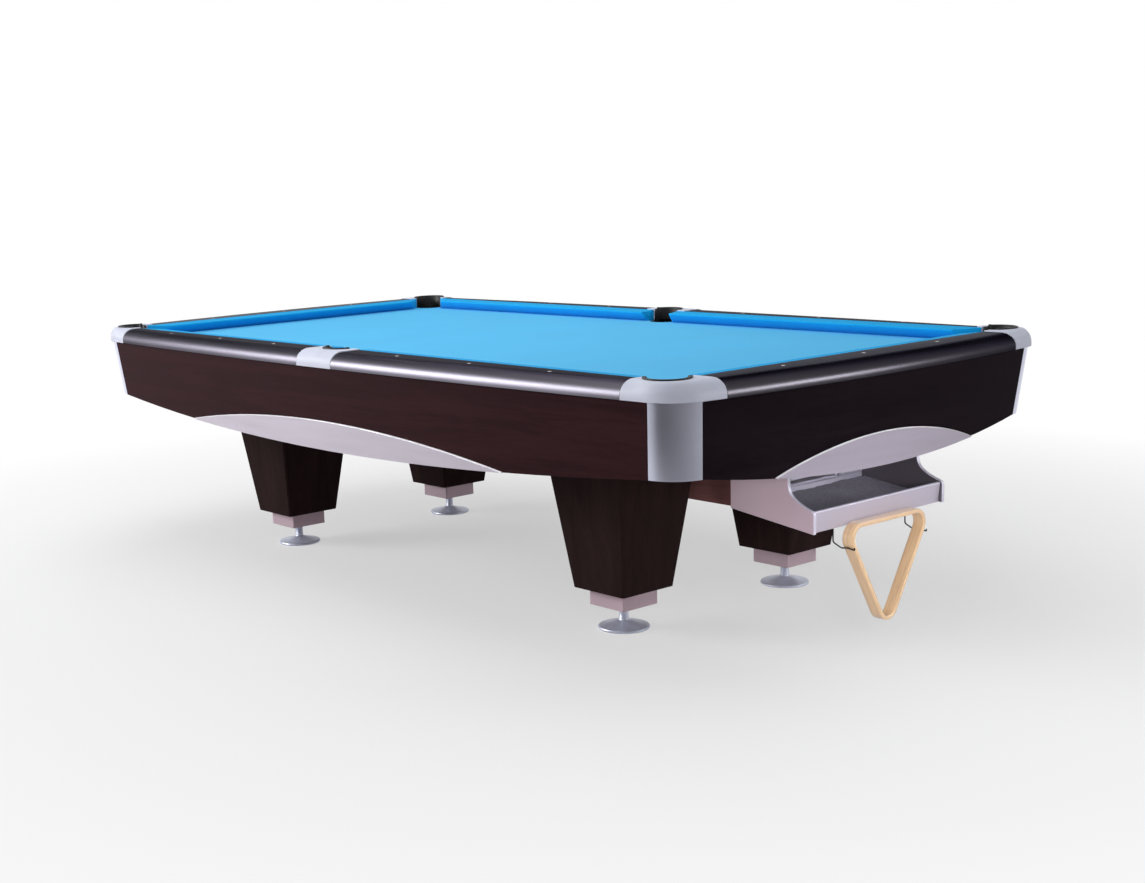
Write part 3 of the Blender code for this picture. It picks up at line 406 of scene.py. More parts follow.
def quads(rows, columns, wrap_rows=False, wrap_columns=False):
    """Quads of a grid of points laid row by row, closed on itself where asked."""
    r = np.arange(rows if wrap_rows else rows - 1)[:, None]
    c = np.arange(columns if wrap_columns else columns - 1)[None, :]
    r2, c2 = (r + 1) % rows, (c + 1) % columns
    corners = [r * columns + c, r * columns + c2, r2 * columns + c2, r2 * columns + c]
    return np.stack(np.broadcast_arrays(*corners), -1).reshape(-1, 4)


def grid(x, y, z):
    """Points (x, y, z), from coordinates that are stretched to one shape."""
    return np.stack(np.broadcast_arrays(x, y, z), -1)


def arc_points(centre, radius, turn):
    """Points centre + radius (cos t, sin t), with a radius for each axis where two are given."""
    return np.asarray(centre) + np.asarray(radius) * np.stack([np.cos(turn), np.sin(turn)], -1)


def full_turn(steps):
    """Bearings all the way round, without the last."""
    return np.linspace(0.0, 2 * math.pi, steps, endpoint=False)


def round_points(centre, r, z, turn):
    """Points (x, y, z) = centre + (r cos t, r sin t, z)."""
    return grid(centre[0] + r * np.cos(turn), centre[1] + r * np.sin(turn), z)


def shifted(faces, start):
    """Faces with their indices moved on, from one array or from a list of unequal faces."""
    if isinstance(faces, np.ndarray):
        return (faces + start).tolist()
    return [[i + start for i in face] for face in faces]


def stacked(parts):
    """Several (points, faces) shapes as one."""
    points = [np.asarray(p, float).reshape(-1, 3) for p, _ in parts]
    starts = np.cumsum([0] + [len(p) for p in points[:-1]]).tolist()
    faces = [shifted(f, start) for (_, f), start in zip(parts, starts)]
    return np.concatenate(points), sum(faces, [])


def read(items, field, width, kind=np.float32):
    """One field of a mesh's points, loops or faces, as rows."""
    values = np.empty(len(items) * width, kind)
    items.foreach_get(field, values)
    return values.reshape(-1, width)


def make_piece(name, points, faces, material, node=None, slot=None, sharp=40, merge=False, uv=None):
    """A piece from arrays, riding on its body, with faces pointing out and sharp edges marked."""
    mesh = bpy.data.meshes.new(name)
    mesh.from_pydata(np.asarray(points, float).reshape(-1, 3).tolist(), [], shifted(faces, 0))
    if uv is not None:
        layer = mesh.uv_layers.new(name="UVMap")
        layer.data.foreach_set("uv", np.asarray(uv, np.float32).ravel())
    built = bmesh.new()
    built.from_mesh(mesh)
    if merge:
        bmesh.ops.remove_doubles(built, verts=built.verts, dist=MERGE)
        bmesh.ops.dissolve_degenerate(built, edges=built.edges, dist=MERGE)
    bmesh.ops.recalc_face_normals(built, faces=built.faces)
    built.to_mesh(mesh)
    built.free()
    mesh.shade_smooth()
    mesh.set_sharp_from_angle(angle=math.radians(sharp))
    mesh.materials.append(material)
    piece = bpy.data.objects.new(name, mesh)
    bpy.context.scene.collection.objects.link(piece)
    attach(piece, NODE_BODY[node] if node else "table")
    if node:
        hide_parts(node)
    return piece


def revolved(profile, centre, steps):
    """A profile of (r, z) turned about an upright line: centre + (r cos t, r sin t, z)."""
    r, z = np.asarray(profile, float).T[:, :, None]
    points = round_points(centre, r, z, full_turn(steps))
    return points, quads(len(r), steps, wrap_columns=True)


def rectangle(x0, x1, z0, z1):
    """Outline of a board seen from the side."""
    return np.array([(x0, z0), (x1, z0), (x1, z1), (x0, z1)])


def panel(outline, near, far):
    """Outline (x, z) carried straight from y = near to y = far, with both ends closed."""
    count = len(outline)
    points = np.stack([np.insert(outline, 1, y, axis=1) for y in (near, far)])
    ends = [list(range(count)), list(range(count, 2 * count))]
    return points, quads(2, count, wrap_columns=True).tolist() + ends


def smooth_step(value):
    """3t^2 - 2t^3 between 0 and 1."""
    t = np.clip(value, 0.0, 1.0)
    return t * t * (3 - 2 * t)


def paint_top_highlight(piece, painted_highlight):
    """Gives the faces that look upwards a finish of their own, used for a painted highlight."""
    upward = 0.3  # least rise of such a face's normal
    sides = piece.data.polygons
    piece.data.materials.append(painted_highlight)
    rises = read(sides, "normal", 3)[:, 2]
    sides.foreach_set("material_index", (rises > upward).astype(np.int32))


def thicken(sheet, thickness):
    """Turns a sheet's faces up and gives it its thickness below them."""
    if read(sheet.data.polygons, "normal", 3)[:, 2].sum() < 0:
        sheet.data.flip_normals()
    wall = sheet.modifiers.new("thickness", "SOLIDIFY")
    wall.thickness = thickness
    wall.offset = -1.0


def round_edges(piece, rounding):
    """Rounds a piece's edges."""
    bevel = piece.modifiers.new("edges", "BEVEL")
    bevel.width = rounding
    bevel.segments = 3
    bevel.limit_method = "ANGLE"
    bevel.angle_limit = math.radians(EDGE)
    bevel.harden_normals = True


def finished_copy(node, material, rounding=0.0, sharp=EDGE):
    """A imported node's own shape with its triangles merged and its edges rounded, in its finish."""
    flat, decimals = math.radians(0.3), 6
    source = NODES[node].data
    corners = read(source.loops, "vertex_index", 1, np.int32).ravel()
    points = np.round(read(source.vertices, "co", 3), decimals)
    merged, place = np.unique(points, axis=0, return_inverse=True)
    faces = place.reshape(-1)[corners].reshape(-1, 3)
    piece = make_piece(node + "_finished", merged, faces, material, node, sharp=sharp, merge=True)
    built = bmesh.new()
    built.from_mesh(piece.data)
    bmesh.ops.dissolve_limit(built, angle_limit=flat, verts=built.verts, edges=built.edges)
    built.to_mesh(piece.data)
    built.free()
    if rounding:
        round_edges(piece, rounding)
    return piece


def finish_nodes(material, rounding, names):
    """Puts one finish on several nodes."""
    for name in names:
        finished_copy(name, material, rounding)


# Cloth.


def bed_arcs(steps=25):
    """The round cuts in the bed's edge, in order round it: corner, side, corner, and again."""
    s = sizes()
    corner = (NOSE_X + s.corner_offset, NOSE_Y + s.corner_offset)
    cut = s.corner_hole + s.slate_gap
    rise = (BED_X - corner[0], BED_Y - corner[1])
    start = math.atan2(-math.sqrt(cut**2 - rise[0] ** 2), rise[0])
    end = math.atan2(rise[1], -math.sqrt(cut**2 - rise[1] ** 2)) - 2 * math.pi
    quarter = arc_points(corner, cut, np.linspace(start, end, steps))
    middle, cut = NOSE_Y + s.side_offset, s.side_hole + s.slate_gap
    rise = BED_Y - middle
    start = math.atan2(rise, math.sqrt(cut**2 - rise**2))
    notch = arc_points((0.0, middle), cut, np.linspace(start, -math.pi - start, steps))
    half = [quarter, notch, (quarter * (-1, 1))[::-1]]
    return half + [arc * (-1, -1) for arc in half]


def bed_surface(rows=6):
    """Cloth as one flat face inside its edge, and a strip z = top - drop v below each round cut."""
    arcs = bed_arcs()
    flat = np.insert(np.concatenate(arcs), 2, BED_TOP, axis=1)
    fall = BED_TOP - sizes().cloth_drop * np.linspace(0.0, 1.0, rows)[:, None]
    parts = [(flat, [range(len(flat))])]
    for arc in arcs:
        parts.append((grid(*arc.T, fall), quads(rows, len(arc))))
    return stacked(parts)


def cushion_profile(samples=9):
    """Closed section of a cushion as (behind the nose, height): foot, slope, nose, crowned top."""
    s = sizes()
    r = s.nose_round
    level = BED_TOP + s.nose_height - r / 2
    slope = math.atan2(level - CUSHION_SEAT, s.undercut - r)
    nose = arc_points((r, level), r, np.linspace(1.5 * math.pi - slope, math.pi / 2, samples))
    share = np.linspace(0.25, 1.0, 4)
    rise = (RAIL_TOP - level - r) * share**2
    crown = np.stack([r + (CUSHION_BACK - r) * share, level + r + rise], -1)
    foot = np.array([[CUSHION_BACK, CUSHION_SEAT], [s.undercut, CUSHION_SEAT]])
    return np.concatenate([foot, nose, crown])


def cushion_surface(ends, along, outward, nose):
    """Section carried between two slanting ends, run(u, b) = e0(b) + (e1(b) - e0(b)) u, hemmed.

    ends gives each end's place at the nose and at the back, and b is the distance behind the nose.
    """
    hem = sizes().hem_round
    section = cushion_profile()
    middle = section.mean(0)
    reach = np.linalg.norm(section - middle, axis=1)[:, None]
    fold = np.array([1.0, 0.55, 0.15, 0.0]) * hem
    tuck = np.array([0.0, 0.1, 0.5, 1.0]) * hem
    straight = np.linspace(0.0, 1.0, 22)[1:-1]
    shrink = np.concatenate([fold, 0 * straight, fold[::-1]])[:, None, None]
    rows = middle + (section - middle) * (1 - shrink / reach)
    behind = rows[:, :, 0]
    first, last = (e[0] + (e[1] - e[0]) * behind / CUSHION_BACK for e in ends)
    u = np.concatenate([0 * fold, straight, 0 * fold + 1])[:, None]
    nudge = np.concatenate([tuck, 0 * straight, -tuck[::-1]])[:, None]
    run = first + (last - first) * u + nudge
    points = run[..., None] * np.asarray(along, float)
    points = points + (nose + behind)[..., None] * np.asarray(outward, float)
    points[..., 2] += rows[:, :, 1]
    count, around = run.shape
    caps = [list(range(around)), list(range((count - 1) * around, count * around))]
    return points, quads(count, around, wrap_columns=True).tolist() + caps


def cushion_layout():
    """Each cushion's name, its ends at nose and back, the two axes it lies on and its nose line."""
    s = sizes()
    mouth = s.corner_mouth / math.sqrt(2)
    found = []
    for end, x_sign in ENDS.items():
        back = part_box(end + "_cushion")[1].y
        ends = ((mouth - NOSE_Y, -back), (NOSE_Y - mouth, back))
        found.append((end + "_cushion", ends, (0, 1, 0), (x_sign, 0, 0), NOSE_X))
        for side, y_sign in SIDES.items():
            name = side + "_" + end + "_cushion"
            near, far = sorted(abs(corner.x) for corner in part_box(name))
            ends = ((s.side_mouth / 2, near), (NOSE_X - mouth, far))
            found.append((name, ends, (x_sign, 0, 0), (0, y_sign, 0), NOSE_Y))
    return found


class DressCloth(bpy.types.Operator):
    """Lays the bed cloth and covers the six cushions"""

    bl_idname = "pool_table.cloth"
    bl_label = "Cloth"

    def execute(self, context):
        c = colours()
        bed = worsted("bed_worsted", c.bed, (1.04, 0.95), (0.85, 0.98))
        cloth = make_piece("bed_cloth_sheet", *bed_surface(), bed, "bed_cloth", merge=True)
        thicken(cloth, sizes().cloth)
        cloth.data.shade_flat()
        # The cushions' cloth is darker and bluer than the bed's, partly as painted shade.
        cover = worsted("cushion_worsted", c.cushion, (1.05, 0.93), (0.82, 0.97))
        for name, *place in cushion_layout():
            piece = make_piece(name + "_cover", *cushion_surface(*place), cover, name, sharp=50)
        return {"FINISHED"}


# Pockets and sights.


def pockets():
    """Each liner's name with its middle, radius, open direction, and its wings' and lip's start."""
    s = sizes()
    found = {}
    for side, y_sign in SIDES.items():
        middle = (0.0, (NOSE_Y + s.side_offset) * y_sign)
        facing = -y_sign * math.pi / 2
        found[side + "_side_pocket_liner"] = (middle, s.side_hole, facing, *SIDE_JAWS)
        for end, x_sign in ENDS.items():
            middle = ((NOSE_X + s.corner_offset) * x_sign, (NOSE_Y + s.corner_offset) * y_sign)
            facing = math.atan2(-y_sign, -x_sign)
            name = side + "_" + end + "_pocket_liner"
            found[name] = (middle, s.corner_hole, facing, *CORNER_JAWS)
    return found


def liner_surface(middle, hole, facing, wing, opening, steps=160):
    """Pocket wall: rows front_i + (wing_i - front_i) W(t) + (back_i - wing_i) S(t) round the hole.

    W rises smoothly from 0 at the open front to 1 along the jaws, S from 0 at the jaws to 1 at the
    back, and a small swelling exp(-t^2) ends the lip on each side.
    """
    s = sizes()
    inner, throat, lip = hole - s.liner_wall, s.throat - s.liner_wall, hole + s.liner_lip
    edge, step = 0.0012, 0.0004  # roundings of the edges and of the low front
    low, high, front = BED_TOP - 0.055, BED_TOP - 0.018, BED_TOP - 0.0045  # funnel, and low front
    flush, seat, top = CAP_TOP - 0.0006, CAP_TOP + 0.0004, LINER_TOP - edge
    wing_run, lip_run = 5.0, 7.0  # degrees in which the wings and the lip rise
    swell_start, swell_width, swell_rise = 8.0, 4.5, 0.0006

    below = [(throat, LINER_BOTTOM), (throat, low), (inner, high), (inner, front)]
    above = [(hole, front), (hole, high), (s.throat, low), (s.throat, LINER_BOTTOM)]
    rim = [(inner, front + step), (inner + edge, front + 3 * step), (hole - edge, front + 3 * step)]
    rim += [(hole, front + k * step) for k in (2.5, 2, 1)]
    jaw = [(inner, flush - edge), (inner + edge, flush), (hole - edge, flush)]
    jaw += [(hole, flush - k * edge) for k in (1, 1.3, 1.6)]
    back = [(inner, top - edge), (inner + edge, top), (lip - edge, top)]
    back += [(lip, top - edge), (lip, seat), (hole, seat)]
    one, half, two = (np.array(below + rows + above)[:, None] for rows in (rim, jaw, back))
    bulge = np.zeros_like(one)  # what the swelling adds to the lip's five rows
    bulge[4:9, 0] = [
        (-0.0022, swell_rise), (-0.0010, edge), (0.0010, edge), (0.0016, swell_rise), (0.0016, 0.0)
    ]

    turn = full_turn(steps)
    away = np.degrees(np.abs((turn - facing + math.pi) % (2 * math.pi) - math.pi))
    reach = smooth_step((away - wing) / wing_run)[:, None]
    rise = smooth_step((away - opening) / lip_run)[:, None]
    swell = np.exp(-(((away - opening - swell_start) / swell_width) ** 2))[:, None]
    rows = one + (half - one) * reach
    rows = rows + (two - half) * rise
    rows = rows + bulge * swell
    points = round_points(middle, rows[..., 0], rows[..., 1], turn)
    return points, quads(len(one), steps, wrap_rows=True, wrap_columns=True)


def boot_surface(middle):
    """Cup under a liner, outside and inside: a wall and a bottom (R cos t, z0 - d sin t)."""
    s = sizes()
    wall, play, overlap, straight = 0.0022, 0.0004, 0.009, 0.010
    outer = s.throat + play + wall
    brim, level, depth = LINER_BOTTOM + overlap, LINER_BOTTOM - straight, s.boot - straight
    turn = np.linspace(0.0, math.pi / 2, 9)
    bowl = arc_points((0.0, level), (outer, -depth), turn)
    inside = arc_points((0.0, level), (outer - wall, wall - depth), turn)
    profile = np.concatenate([bowl[::-1], [(outer, brim), (outer - wall, brim)], inside])
    return revolved(profile, middle, steps=48)


class DressPockets(bpy.types.Operator):
    """Makes the six pocket liners and the boots that hang below them"""

    bl_idname = "pool_table.pockets"
    bl_label = "Pockets"

    def execute(self, context):
        rubber = finish(
            "pocket_rubber", "mottle", colours().rubber, (1.5, 0.7),
            {"Cloud": 30.0, "Tooth": 700.0}, (0.50, 0.62), (0.2, 0.0004),
            plain={"Specular IOR Level": 0.2},
        )
        boots = []
        for name, (middle, *shape) in pockets().items():
            make_piece(name + "_moulded", *liner_surface(middle, *shape), rubber, name, sharp=60)
            boots.append(boot_surface(middle))
        make_piece("pocket_boots", *stacked(boots), rubber, slot="liner", sharp=50, merge=True)
        return {"FINISHED"}


class SetSights(bpy.types.Operator):
    """Sets the round sights into the rails"""

    bl_idname = "pool_table.sights"
    bl_label = "Sights"

    def execute(self, context):
        s = sizes()
        pitch, out_y, out_x = s.sight_pitch, NOSE_Y + s.sight_line, NOSE_X + s.sight_line
        along, across = (-3, -2, -1, 1, 2, 3), (-1, 0, 1)
        places = [(i * pitch, y_sign * out_y) for i in along for y_sign in SIDES.values()]
        places += [(x_sign * out_x, i * pitch) for i in across for x_sign in ENDS.values()]
        sunk, proud, shoulder = RAIL_TOP - 0.0006, RAIL_TOP + 0.0004, 0.0001
        dome = [(0, sunk), (s.sight, sunk), (s.sight, RAIL_TOP), (0.9 * s.sight, proud - shoulder)]
        dome += [(0.5 * s.sight, proud), (0, proud)]
        pearl = finish(
            "sight_pearl", "mottle", colours().sight, (1.12, 0.86),
            {"Cloud": 200.0, "Tooth": 1500.0}, (0.2, 0.35), (0.1, 0.0002),
        )
        parts = [revolved(dome, place, steps=24) for place in places]
        make_piece("rail_sights", *stacked(parts), pearl, slot="accent", merge=True)
        return {"FINISHED"}


# Ball box, rack and feet.

BoxLines = namedtuple("BoxLines", "back front reach rear low top")


def box_lines():
    """The ball box's back, lip's foot and cheeks' front in X, and its underside and top in Z.

    rear is the underside's height at the back, and low the same at the front.
    """
    s = sizes()
    low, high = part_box("ball_box")
    front = high.x - s.box_reveal - s.box_lean
    return BoxLines(low.x, front, high.x, low.z + s.box_fall, low.z, high.z)


def cheek_outline():
    """Side of the ball box: a round front corner, then one cubic curve back and up to the mouth.

    The cubic is (1-t)^3 p0 + 3t (1-t)^2 p1 + 3t^2 (1-t) p2 + t^3 p3.
    """
    s, b = sizes(), box_lines()
    proud = 0.004  # how far the front corner stands over the lip
    lead, rise = np.array([-0.045, 0.0146]), np.array([0.0, -0.034])  # the curve's two handles
    r = s.box_nose
    centre = (b.reach - r, b.low + s.box_lip + proud - r)
    nose = arc_points(centre, r, np.radians(np.linspace(0.0, 72.0, 7)))
    start, mouth = nose[-1], np.array([b.reach - s.box_mouth, b.top - s.box_shoulder])
    t = np.linspace(0.0, 1.0, 17)[1:, None]
    sweep = (1 - t) ** 3 * start + 3 * t * (1 - t) ** 2 * (start + lead)
    sweep = sweep + 3 * t**2 * (1 - t) * (mouth + rise) + t**3 * mouth
    ends = [(mouth[0], b.top), (b.back, b.top), (b.back, b.rear), (b.reach, b.low)]
    return np.concatenate([nose, sweep, ends])


def tray_outline():
    """Floor, leaning front lip and back sill of the ball box, as one outline."""
    s, b = sizes(), box_lines()
    wall, lip, sill = s.box_wall, b.low + s.box_lip, b.rear + s.box_sill
    lean, fall = b.front + s.box_lean, (b.rear - b.low) / (b.front - b.back)
    return np.array([
        (b.back, b.rear), (b.front, b.low), (lean, lip), (lean - wall, lip),
        (b.front - wall, b.low + fall * wall + s.box_floor),
        (b.back + wall, b.rear - fall * wall + s.box_floor),
        (b.back + wall, sill), (b.back, sill),
    ])


class BuildBallBox(bpy.types.Operator):
    """Makes the ball box's cheeks, tray, header and back, and the board that ends the chute"""

    bl_idname = "pool_table.ball_box"
    bl_label = "Ball Box"

    def execute(self, context):
        s, c, b = sizes(), colours(), box_lines()
        header_gap, header_rise = 0.0003, 0.005  # the header's place against the cheeks' mouth
        rim, board_rise = 0.004, 0.0385  # the lip's top band left in the paler paint as a painted highlight, and the chute's end board
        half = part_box("ball_box")[1].y
        inner = half - s.box_wall
        bite = inner + 0.001  # the boards reach a little into the cheeks
        low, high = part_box("return_chute")
        mouth = b.reach - s.box_mouth - header_gap
        over = b.top - s.box_shoulder + header_rise
        header = rectangle(mouth - s.box_header, mouth, over, b.top)
        back = rectangle(b.back, b.back + s.box_wall, b.rear + s.box_sill - SKIN, b.top)
        panels = [panel(cheek_outline(), inner, half), panel(cheek_outline(), -half, -inner)]
        panels += [panel(outline, -bite, bite) for outline in (tray_outline(), header)]
        panels += [panel(back, high.y, bite), panel(back, -bite, low.y)]
        paint = satin("ball_box_paint", c.box, (0.32, 0.42), {"Metallic": 0.15})
        # The cheeks' inner faces take a dark tone that is painted shade; their outer faces take the
        # cheeks' own tone.
        for tone, y in ((c.cheek_inside_painted_shade, inner), (c.cheek, half)):
            lined(paint, tone, Y=(y - SKIN, y + SKIN))
        face = (b.front - SKIN, b.front + s.box_lean)
        # The lip's face is darker below a top band, which stays in the paler paint as a painted
        # highlight.
        lined(paint, c.lip, X=face, Y=(FROM_MIDDLE, inner), Z=(b.low, b.low + s.box_lip - rim))
        piece = make_piece("ball_box_panels", *stacked(panels), paint, "ball_box", sharp=EDGE)
        round_edges(piece, 0.003)
        wall = CHUTE_WALL + SKIN
        ends = rectangle(low.x + SKIN, low.x + wall, low.z + board_rise, high.z)
        board = panel(ends, low.y + wall, high.y - wall)
        timber = veneer("chute_end_timber", c.chute, (6.0, 0.5, 6.0), (0.5, 0.65))
        make_piece("chute_end_board", *board, timber, slot="chute")
        return {"FINISHED"}


def carpet_surface(rows=70, columns=140):
    """Laid carpet: z = floor(x) + thickness + tufts, its frayed back edge x0(y) a sum of sines."""
    s, b = sizes(), box_lines()
    side_gap, back_gap, front_gap, lift, tuft = 0.0006, 0.0085, 0.0004, 0.0002, 0.0005
    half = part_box("ball_box")[1].y - s.box_wall - side_gap
    y = np.linspace(-half, half, columns)[None, :]
    fray = sum(size * np.sin(turns * y + phase) for size, turns, phase in FRAY)
    start = b.back + s.box_wall + back_gap + fray
    end = b.front - s.box_wall - front_gap
    x = start + (end - start) * np.linspace(0.0, 1.0, rows)[:, None]
    floor = b.low + (b.rear - b.low) * (b.front - x) / (b.front - b.back) + s.box_floor
    # Two sets of rows that cross, and each wanders along its own slower wave.
    tufts = tuft * np.sin(1900.0 * x + 3.1 * np.sin(310.0 * y))
    tufts = tufts * np.sin(1700.0 * y + 2.3 * np.sin(270.0 * x))
    z = floor + s.carpet + lift + tufts
    return grid(x, y, z), quads(rows, columns)


class LayCarpet(bpy.types.Operator):
    """Lays the carpet in the ball box"""

    bl_idname = "pool_table.carpet"
    bl_label = "Ball Box Carpet"

    def execute(self, context):
        pile = finish(
            "box_carpet", "weave", colours().carpet, (1.7, 0.35), {"Pitch": 0.005, "Nap": 260.0},
            (0.9, 1.0), (0.8, 0.0015), plain={"Sheen Weight": 0.15, "Specular IOR Level": 0.1},
        )
        carpet = make_piece("ball_box_carpet", *carpet_surface(), pile, slot="bed_cloth", sharp=80)
        thicken(carpet, sizes().carpet)
        spread = np.ptp(read(carpet.data.vertices, "co", 3).astype(float), axis=0)
        return {"FINISHED"}


def rounded_section(width, depth, radius, steps=4):
    """Rectangle with rounded corners as (a, b) points, closed."""
    turn = np.linspace(0.0, math.pi / 2, steps + 1)
    corners = []
    for i, (a, b) in enumerate(((1, 1), (-1, 1), (-1, -1), (1, -1))):
        centre = (a * (width / 2 - radius), b * (depth / 2 - radius))
        corners.append(arc_points(centre, radius, turn + i * math.pi / 2))
    return np.concatenate(corners)


def rack_surface(bend=17, run=20):
    """Rounded bar round the triangle: (y, z) = c(t) + (R + a)(cos f, sin f), x = middle + b.

    c stays at a corner while f turns, and moves to the next corner while f stays.
    """
    s = sizes()
    low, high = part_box("triangle_rack")
    side, level = 4 * s.ball, high.z - s.ball / 2 - s.rack_wall
    tip = level - side * math.sqrt(3) / 2
    corners = np.array([(side / 2, level), (-side / 2, level), (0.0, tip)])
    straight = np.linspace(0.0, 1.0, run + 2)[1:-1, None]
    centres, angles = [], []
    for i, corner in enumerate(corners):
        start = -math.pi / 6 + i * 2 * math.pi / 3
        turn = np.linspace(start, start + 2 * math.pi / 3, bend)
        step = corners[(i + 1) % 3] - corner
        centres += [np.broadcast_to(corner, (bend, 2)), corner + step * straight]
        angles += [turn, np.full(run, turn[-1])]
    centre, turned = np.concatenate(centres), np.concatenate(angles)
    section = rounded_section(s.rack_wall, high.x - low.x, s.rack_round)
    reach = s.ball / 2 + s.rack_wall / 2 + section[:, 0]
    y = centre[:, :1] + reach * np.cos(turned)[:, None]
    z = centre[:, 1:] + reach * np.sin(turned)[:, None]
    points = grid((low.x + high.x) / 2 + section[:, 1], y, z)
    along = np.linalg.norm(np.diff(points[:, 0], axis=0, append=points[:1, 0]), axis=1)
    around = np.linalg.norm(np.diff(section, axis=0, append=section[:1]), axis=1)
    u, v = (np.concatenate([[0.0], np.cumsum(steps)]) for steps in (along, around))
    u0, v0 = np.meshgrid(u[:-1], v[:-1], indexing="ij")
    u1, v1 = np.meshgrid(u[1:], v[1:], indexing="ij")
    uv = np.stack([np.stack(p, -1) for p in ((u0, v0), (u0, v1), (u1, v1), (u1, v0))], 2)
    return points, quads(len(turned), len(section), wrap_rows=True, wrap_columns=True), uv


class HangRack(bpy.types.Operator):
    """Makes the wooden rack and finishes the wire that it hangs on"""

    bl_idname = "pool_table.rack"
    bl_label = "Rack"

    def execute(self, context):
        c = colours()
        maple = finish(
            "rack_maple", "grain", c.maple, (1.15, 0.8), {"Figure": 9.0, "Pores": 60.0},
            (0.34, 0.46), (0.25, 0.0006), (0.6, 12.0, 1.0), "UV",
            {"Coat Weight": 1.0, "Coat Roughness": 0.2},
        )
        points, faces, uv = rack_surface()
        make_piece("rack_bent_wood", points, faces, maple, "triangle_rack", sharp=70, uv=uv)
        wire = finish(
            "hook_enamel", "mottle", c.wire, (1.6, 0.6), {"Cloud": 60.0, "Tooth": 900.0},
            (0.3, 0.45), (0.2, 0.0002), plain={"Specular IOR Level": 0.25},
        )
        finished_copy("rack_hooks", wire, sharp=60)
        return {"FINISHED"}


def leveler_surface(low, high, steps=40, rings=96):
    """Disc, dome and threaded stem, r(z, t) = stem - depth (1 + cos(2 pi z / pitch - t)) / 2."""
    s = sizes()
    rim, edge, dome = 0.008, 0.002, 0.013  # the disc's height and rounding, and the dome's height
    neck, fillet, collar = 0.021, 0.006, 0.0075  # the dome's upper radius, and the stem's foot
    depth = 0.0009
    radius = (high.x - low.x) / 2
    inner, crest = radius - edge, rim + dome
    share = np.linspace(0.0, 1.0, 10)
    cap = np.stack([inner + (neck - inner) * share, rim + dome * share**1.3], -1)
    turn = np.linspace(0.0, math.pi / 2, 6)[1:]
    narrowing, climb = (neck - s.stem) * np.sin(turn), fillet * (1 - np.cos(turn))
    root = np.stack([neck - narrowing, crest + climb], -1)
    foot = [(0.0, 0.0), (inner * 0.5, 0.0), (inner, 0.0), (radius, edge), (radius, rim - edge)]
    z = np.linspace(crest + collar, high.z, rings)
    stem = np.stack([np.full(rings, s.stem), z], -1)
    profile = np.concatenate([foot, cap, root, stem, [(0.0, high.z)]])
    points, faces = revolved(profile, ((low.x + high.x) / 2, (low.y + high.y) / 2), steps)
    turn = full_turn(steps)
    fade = smooth_step((z - z[0]) / s.thread) * smooth_step((z[-1] - z) / s.thread)
    cut = depth * fade[:, None] * (1 + np.cos(2 * math.pi * z[:, None] / s.thread - turn)) / 2
    points[-rings - 1:-1, :, 0] -= cut * np.cos(turn)
    points[-rings - 1:-1, :, 1] -= cut * np.sin(turn)
    return points, faces


class MakeFeet(bpy.types.Operator):
    """Makes the four leveler feet with their threads"""

    bl_idname = "pool_table.feet"
    bl_label = "Feet"

    def execute(self, context):
        steel = finish(
            "leveler_enamel", "mottle", colours().steel, (1.12, 0.86),
            {"Cloud": 25.0, "Tooth": 1100.0}, (0.34, 0.46), (0.15, 0.0003),
            plain={"Metallic": 0.35},
        )
        for name in (end + "_" + side + "_leveler" for end in ENDS for side in SIDES):
            points, faces = leveler_surface(*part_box(name))
            make_piece(name + "_turned", points, faces, steel, name, sharp=45, merge=True)
        return {"FINISHED"}


# Cabinet.

Run = namedtuple("Run", "names spans stretch wood gloss rail rough tint lens")


